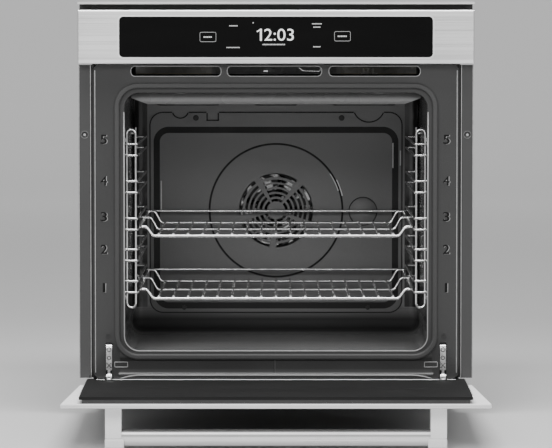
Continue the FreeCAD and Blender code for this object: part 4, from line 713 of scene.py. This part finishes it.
def make_clock():
    """Lit clock reading, laid just in front of the glass."""
    stem_left, stem_right = -0.0240, -0.0212
    digits_low, digits_high = (-0.0176, CLOCK_LOW), (0.0266, CLOCK_HIGH)
    flag_left, flag_right, flag_drop, flag_radius = -0.0286, stem_right - 0.0010, 0.0044, 0.0009
    digits = text_mesh("clock", "2:03", digits_low, digits_high, PRINT_SHEET, PRINT_FACE)

    def build(shape):
        shape.from_mesh(digits)
        raised_box(shape, (stem_left, PRINT_FACE, CLOCK_LOW),
                   (stem_right, PRINT_FACE + PRINT_SHEET, CLOCK_HIGH))
        flag = [(flag_left, PRINT_FACE, CLOCK_HIGH - flag_drop),
                (flag_right, PRINT_FACE, CLOCK_HIGH - 0.0006)]
        tube_along(shape, flag, flag_radius, closed=False, sides=6, flatten=0.05)
    finish_piece(mesh_object("clock_digits", build), OVEN,
                 "display_print", smooth=False)


def make_panel_marks():
    """Outlined touch keys and small generic bars in place of their words."""
    keys = ((-0.1020, 0.5422, 0.0240, 0.0142), (0.0996, 0.5433, 0.0238, 0.0142))
    key_corner, key_line, flatness = 0.0022, 0.00028, 0.3

    def build_keys(shape):
        for cx, cz, width, height in keys:
            outline = rounded_loop(width, height, key_corner, 5)
            loop = [(cx + x, PRINT_FACE, cz + z) for x, z in outline]
            tube_along(shape, loop, key_line, sides=6, flatten=flatness)
    finish_piece(mesh_object("touch_key_frames", build_keys), OVEN,
                 "key_print")

    words = (
        (-0.1020, 0.5422, 0.013, 0.0020), (0.0996, 0.5433, 0.014, 0.0020),
        (-0.0635, 0.5590, 0.013, 0.0014), (-0.0640, 0.5265, 0.020, 0.0014),
        (0.0615, 0.5620, 0.015, 0.0014), (0.0615, 0.5570, 0.011, 0.0014),
        (0.0615, 0.5276, 0.011, 0.0014), (-0.0030, 0.5310, 0.034, 0.0017),
        (-0.0340, 0.5635, 0.0018, 0.0018),
    )
    letter_width, letter_share = 1.25, 0.68

    def build_words(shape):
        for cx, cz, width, height in words:
            letters = max(1, round(width / (height * letter_width)))
            step = width / letters
            for number in range(letters):
                x0 = cx - width / 2 + number * step
                raised_box(shape, (x0, PRINT_FACE, cz - height / 2),
                           (x0 + step * letter_share, PRINT_FACE + PRINT_SHEET, cz + height / 2))
    finish_piece(mesh_object("panel_marks", build_words), OVEN,
                 "word_print", smooth=False)


# ---------------------------------------------------------------- front frame detail

def make_shelf_numbers():
    """Raised level numbers on both sides of the mouth, each with a pale glint beside it."""
    levels = (("5", 0.388), ("4", 0.3255), ("3", 0.2714), ("2", 0.222), ("1", 0.1638))
    wide, tall, bevel = 0.0098, 0.0140, 0.014
    layers = (("numbers", 0.0, 0.0, 0.0008, "print_black"),
              ("number_glints", 0.0011, -0.0004, 0.0004, "highlight_enamel"))
    for side, x in (("left", -0.2597), ("right", 0.2571)):
        for layer, shift_x, shift_z, depth, material in layers:
            face = FRAME_FACE - depth / 2
            meshes = []
            for text, z in levels:
                half = wide / (5 if text == "1" else 2)
                low = (x + shift_x - half, z + shift_z - tall / 2)
                high = (x + shift_x + half, z + shift_z + tall / 2)
                meshes.append(text_mesh(layer + text, text, low, high, depth, face, bevel))

            def build(shape):
                for mesh in meshes:
                    shape.from_mesh(mesh)
            finish_piece(mesh_object("shelf_%s_%s" % (layer, side), build), OVEN,
                         material, smooth=False)


def make_frame_beads():
    """Painted highlights on the rolled rims of the vents and the mouth, on the gutter lip and round
    small pressings, and a wire clip.
    """
    def build_vents(shape):
        vent_z, height, corner, overlap, bead = 0.49065, 0.0153, 0.0066, 0.0008, 0.0007
        for left, right in ((-0.2182, -0.0830), (-0.0731, 0.0685), (0.0800, 0.2170)):
            centre = (left + right) / 2
            outline = rounded_loop(right - left + overlap, height, corner, 8)
            tube_along(shape, [(centre + x, FRAME_FACE, vent_z + z) for x, z in outline], bead)
    finish_piece(mesh_object("vent_rim_highlights", build_vents), OVEN, "highlight_enamel")

    def build_clip(shape):
        depth, wire = FRAME_FACE + 0.006, 0.0007
        bends = ((0.0346, 0.4960), (0.0410, 0.4912), (0.0650, 0.4903), (0.0676, 0.4940))
        tube_along(shape, [(x, depth, z) for x, z in bends], wire, closed=False)
        raised_box(shape, (-0.0190, depth, 0.4893), (-0.0120, depth + 0.002, 0.4923), 0.0005)
    finish_piece(mesh_object("vent_clip", build_clip), OVEN, "bright_edge",
                 smooth=False)

    def build_mouth(shape):
        middle, width, height, corner, bead = 0.2635, 0.4585, 0.3915, 0.0228, 0.0010
        depth = FRAME_FACE + 0.0004
        loop = [(x, depth, middle + z) for x, z in rounded_loop(width, height, corner, 12)]
        # the mouth rim's painted highlight runs only along the lower, lit part
        bright = [point for point in loop if point[2] < middle]
        start = bright.index(min(bright, key=lambda point: (point[0], -point[2])))
        bright = bright[start:] + bright[:start]
        top = middle + height / 2 - 0.03
        ends = [(bright[0][0], depth, top)] + bright + [(bright[-1][0], depth, top)]
        tube_along(shape, ends, bead, closed=False)
    finish_piece(mesh_object("mouth_rim_highlight", build_mouth), OVEN, "highlight_enamel")

    def build_lip(shape):
        ends, straight, drop, steps, bead = 0.236, 0.204, 0.0055, 8, 0.0009
        depth, lip_z = FRAME_FACE - 0.0048, 0.0317
        points = []
        for step in range(steps + 1):
            t = step / steps
            points.append((-ends + (ends - straight) * t, depth, lip_z - drop * (1 - t) ** 2))
        points += [(-x, y, z) for x, y, z in reversed(points)]
        tube_along(shape, points, bead, closed=False)
    finish_piece(mesh_object("gutter_lip_highlight", build_lip), OVEN, "highlight_enamel")

    def build_tabs(shape):
        tab_x, tab_z, bead = 0.2343, 0.0473, 0.0006
        outline = rounded_loop(0.0196, 0.0076, 0.001, 3)
        for sign in (-1, 1):
            loop = [(sign * tab_x + x, FRAME_FACE, tab_z + z) for x, z in outline]
            tube_along(shape, loop, bead)
    finish_piece(mesh_object("frame_tab_highlights", build_tabs), OVEN, "highlight_enamel")


def make_stile_details():
    """Painted highlights on the folded edges of the mounting stiles, and painted shade in the
    dimples round their screw holes, ringed by painted highlights.
    """
    face = -0.2737
    hole_x, hole_z = 0.2885, 0.395

    def build_edges(shape):
        half, chamfer = 0.0002, 0.0001
        edges = ((0.2962, 0.2974, -0.2746, 0.0272, 0.5003),
                 (0.2790, 0.2800, -0.2748, 0.0272, 0.5003),
                 (0.2723, 0.2735, FRAME_FACE - 0.0001, 0.0350, 0.4920))
        for sign in (-1, 1):
            for near_x, far_x, front, low, high in edges:
                x0, x1 = sorted((sign * near_x, sign * far_x))
                raised_box(shape, (x0, front - half, low), (x1, front + half, high), chamfer)
    # painted highlights along the stile folds
    finish_piece(mesh_object("stile_edge_highlights", build_edges), OVEN, "fold_steel",
                 smooth=False)

    def build_dimples(shape):
        count = 40
        for sign in (-1, 1):
            rings = []
            for radius, rise in ((0.0019, 0.0002), (0.0044, 0.0002), (0.0048, 0.0005)):
                points = circle_points(sign * hole_x, face - rise, hole_z, radius, count)
                rings.append([shape.verts.new(point) for point in points])
            for inner, outer in zip(rings, rings[1:]):
                for n in range(count):
                    turn = (n + 1) % count
                    shape.faces.new((inner[n], inner[turn], outer[turn], outer[n]))
    # painted shade in the dimples
    finish_piece(mesh_object("stile_hole_dimple_shade", build_dimples), OVEN, "painted_shade")

    def build_rims(shape):
        radius, bead = 0.0054, 0.0004
        for sign in (-1, 1):
            loop = circle_points(sign * hole_x, face - 0.0002, hole_z, radius, 40)
            tube_along(shape, loop, bead)
    # painted highlight rings round the dimples
    finish_piece(mesh_object("stile_hole_rim_highlights", build_rims), OVEN,
                 "rolled_enamel")


def make_top_gap():
    """Painted shade: dark plates at both ends of the air gap over the panel."""
    low, high = PANEL_TOP + 0.0006, 0.5935
    inner, outer = 0.2775, 0.2968
    front, back, chamfer = PANEL_FACE + 0.0400, PANEL_FACE + 0.0410, 0.0003

    def build(shape):
        for sign in (-1, 1):
            x0, x1 = sorted((sign * inner, sign * outer))
            raised_box(shape, (x0, front, low), (x1, back, high), chamfer)
    finish_piece(mesh_object("top_gap_shade_plates", build), OVEN, "dark_screw",
                 smooth=False)


# ---------------------------------------------------------------- cavity detail

def make_baffle_shadow():
    """Dark gap between the edge of the fan cover and the wall behind it."""
    plate = NODES["fan_baffle"].data
    clear_of_fan, sheet, width, facing = 0.135, 0.002, 0.0021, 0.2
    wall = BACK_WALL - 0.0003

    def build(shape):
        for polygon in plate.polygons:
            corners = [plate.vertices[index].co for index in polygon.vertices]
            depths = [corner.y for corner in corners]
            reach = math.hypot(polygon.center.x, polygon.center.z - FAN_CENTRE)
            thin = max(depths) - min(depths) < sheet
            if abs(polygon.normal.y) > facing or reach < clear_of_fan or thin:
                continue
            front = [corner for corner in corners if corner.y < min(depths) + sheet / 2]
            if len(front) < 2:
                continue
            near, far = [Vector((corner.x, wall, corner.z)) for corner in front[:2]]
            out = Vector((polygon.normal.x, 0, polygon.normal.z)).normalized() * width
            shape.faces.new([shape.verts.new(p) for p in (near, far, far + out, near + out)])
    # painted shadow: a dark ribbon on the wall round the cover
    finish_piece(mesh_object("fan_cover_shadow_gap", build), OVEN, "painted_shade",
                 smooth=False)


# ---------------------------------------------------------------- door and hinge detail

HINGE = (-0.2769, 0.029)
DOOR_ANGLE = math.radians(87.25)


def on_door(x, y, z):
    """Rest place of a point given on the closed door."""
    dy, dz = y - HINGE[0], z - HINGE[1]
    cos, sin = math.cos(DOOR_ANGLE), math.sin(DOOR_ANGLE)
    return (x, HINGE[0] + dy * cos - dz * sin, HINGE[1] + dy * sin + dz * cos)


def make_glass_edges():
    """Painted highlight along the side edges of the inner glass, and a strip along its seam by the
    hinges.
    """
    inside = -0.2805

    def build_sides(shape):
        edge, bead = ((0.2861, 0.018), (0.2727, 0.484)), 0.0007
        for sign in (-1, 1):
            points = [on_door(sign * x, inside - 0.0004, z) for x, z in edge]
            tube_along(shape, points, bead, closed=False)
    # painted highlight along the glass side edges
    finish_piece(mesh_object("glass_side_edge_highlights", build_sides), DOOR,
                 "bright_edge")

    def build_seam(shape):
        low, high, thick, draw = 0.0310, 0.0440, 0.0003, 0.0002
        for left, right in ((-0.271, -0.2585), (-0.2465, 0.2465), (0.2585, 0.271)):
            v = []
            for y, z0, z1 in ((inside, low, high), (inside + thick, low + draw, high - draw)):
                outline = ((left, z0), (right, z0), (right, z1), (left, z1))
                v += [shape.verts.new(on_door(x, y, z)) for x, z in outline]
            for face in ((0, 1, 2, 3), (4, 5, 6, 7), (0, 1, 5, 4), (1, 2, 6, 5), (2, 3, 7, 6),
                         (3, 0, 4, 7)):
                shape.faces.new([v[index] for index in face])
    finish_piece(mesh_object("glass_seam_strip", build_seam), DOOR,
                 "fold_steel", smooth=False)


def make_hinge_details():
    """Rivets and crossed links on the fixed arms."""
    arm_x, face = 0.2525, -0.2763
    link_half, link_low, link_high = 0.0034, 0.0425, 0.0500

    def build(shape):
        for sign in (-1, 1):
            x = sign * arm_x
            for z, radius in ((0.0700, 0.0030), (0.0575, 0.0026)):
                tube_along(shape, circle_points(x, face, z, radius, 24), 0.0006, sides=6)
            for lean in (-link_half, link_half):
                points = [(x - lean, face - 0.0002, link_low), (x + lean, face - 0.0002, link_high)]
                tube_along(shape, points, 0.0007, closed=False, sides=6)
    finish_piece(mesh_object("hinge_rivets", build), OVEN, "black_plastic")


# ---------------------------------------------------------------- stage

def make_stage():
    """Paper floor that curves up into a wall behind the oven, painted paler with distance as
    painted light.
    """
    low = CAD_BOX[0][2] - 0.0005
    half_width, near, back, height, radius, steps = 12.0, -12.0, 9.0, 6.0, 1.5, 12
    profile = [(near, low), (back - radius, low)]
    for step in range(1, steps):
        angle = math.radians(90 * step / steps)
        y = back - radius + radius * math.sin(angle)
        profile.append((y, low + radius - radius * math.cos(angle)))
    profile.append((back, low + height))
    vertices = []
    for y, z in profile:
        vertices += [(-half_width, y, z), (half_width, y, z)]
    faces = [(2 * n, 2 * n + 1, 2 * n + 3, 2 * n + 2) for n in range(len(profile) - 1)]
    floor_mesh = bpy.data.meshes.new("floor")
    floor_mesh.from_pydata(vertices, [], faces)
    for polygon in floor_mesh.polygons:
        polygon.use_smooth = True
    floor = bpy.data.objects.new("floor", floor_mesh)
    bpy.context.scene.collection.objects.link(floor)

    # painted light: the paper is painted paler from 1.5 m to 6 m back
    near_tone, far_tone, pale_from, pale_to = grey(0.6), grey(0.98), 1.5, 6.0
    material, tree, shader = new_material("floor_paper", near_tone, roughness=0.7)
    grain = place_noise(tree, EVEN, scale=400.0, detail=2.0).outputs["Fac"]
    far = spread(tree, object_axis(tree, "Y"), 0.0, 1.0, start=pale_from, end=pale_to)
    colour = tint(tree, far, near_tone, far_tone, start=0.0, end=1.0)
    tree.links.new(colour, shader.inputs["Base Color"])
    raise_bumps(tree, shader, grain, height=0.0002, strength=0.1)
    floor_mesh.materials.append(material)


def add_softbox(name, place, target, size, power):
    """Rectangular area light aimed at a point."""
    light = bpy.data.lights.new(name, "AREA")
    light.shape = "RECTANGLE"
    light.size, light.size_y = size
    light.energy = power
    holder = bpy.data.objects.new(name, light)
    bpy.context.scene.collection.objects.link(holder)
    aim = Vector(target) - Vector(place)
    holder.location = place
    holder.rotation_euler = aim.to_track_quat("-Z", "Y").to_euler()


def light_scene():
    """Two softboxes in front, one above, and an even grey surround."""
    oven_front = (0, -0.3, 0.3)
    add_softbox("key_light", (-1.6, -4.6, 2.4), oven_front, size=(2.4, 1.6), power=104)
    add_softbox("fill_light", (1.8, -4.6, 2.0), oven_front, size=(2.0, 1.6), power=50)
    add_softbox("top_light", (0, -0.9, 2.6), (0, -0.6, 0.0), size=(2.0, 1.0), power=92)
    world = bpy.data.worlds.new("studio")
    bpy.context.scene.world = world
    world.use_nodes = True
    background = world.node_tree.nodes["Background"]
    background.inputs["Color"].default_value = (*grey(0.9), 1.0)
    background.inputs["Strength"].default_value = 0.55


def add_camera():
    """Long lens in front of the oven, looking slightly down."""
    look_down = 0.057
    camera = bpy.data.cameras.new("camera")
    camera.lens = 227.15
    camera.sensor_width = 36.0
    camera.clip_end = 60.0
    holder = bpy.data.objects.new("camera", camera)
    bpy.context.scene.collection.objects.link(holder)
    holder.location = (0.0, -5.5235, 0.5598)
    holder.rotation_euler = (math.radians(90.0) - look_down, 0.0, 0.0)
    bpy.context.scene.camera = holder


dress_nodes()
make_clock()
make_panel_marks()
make_shelf_numbers()
make_frame_beads()
make_stile_details()
make_top_gap()
make_baffle_shadow()
make_glass_edges()
make_hinge_details()
make_stage()
light_scene()
add_camera()
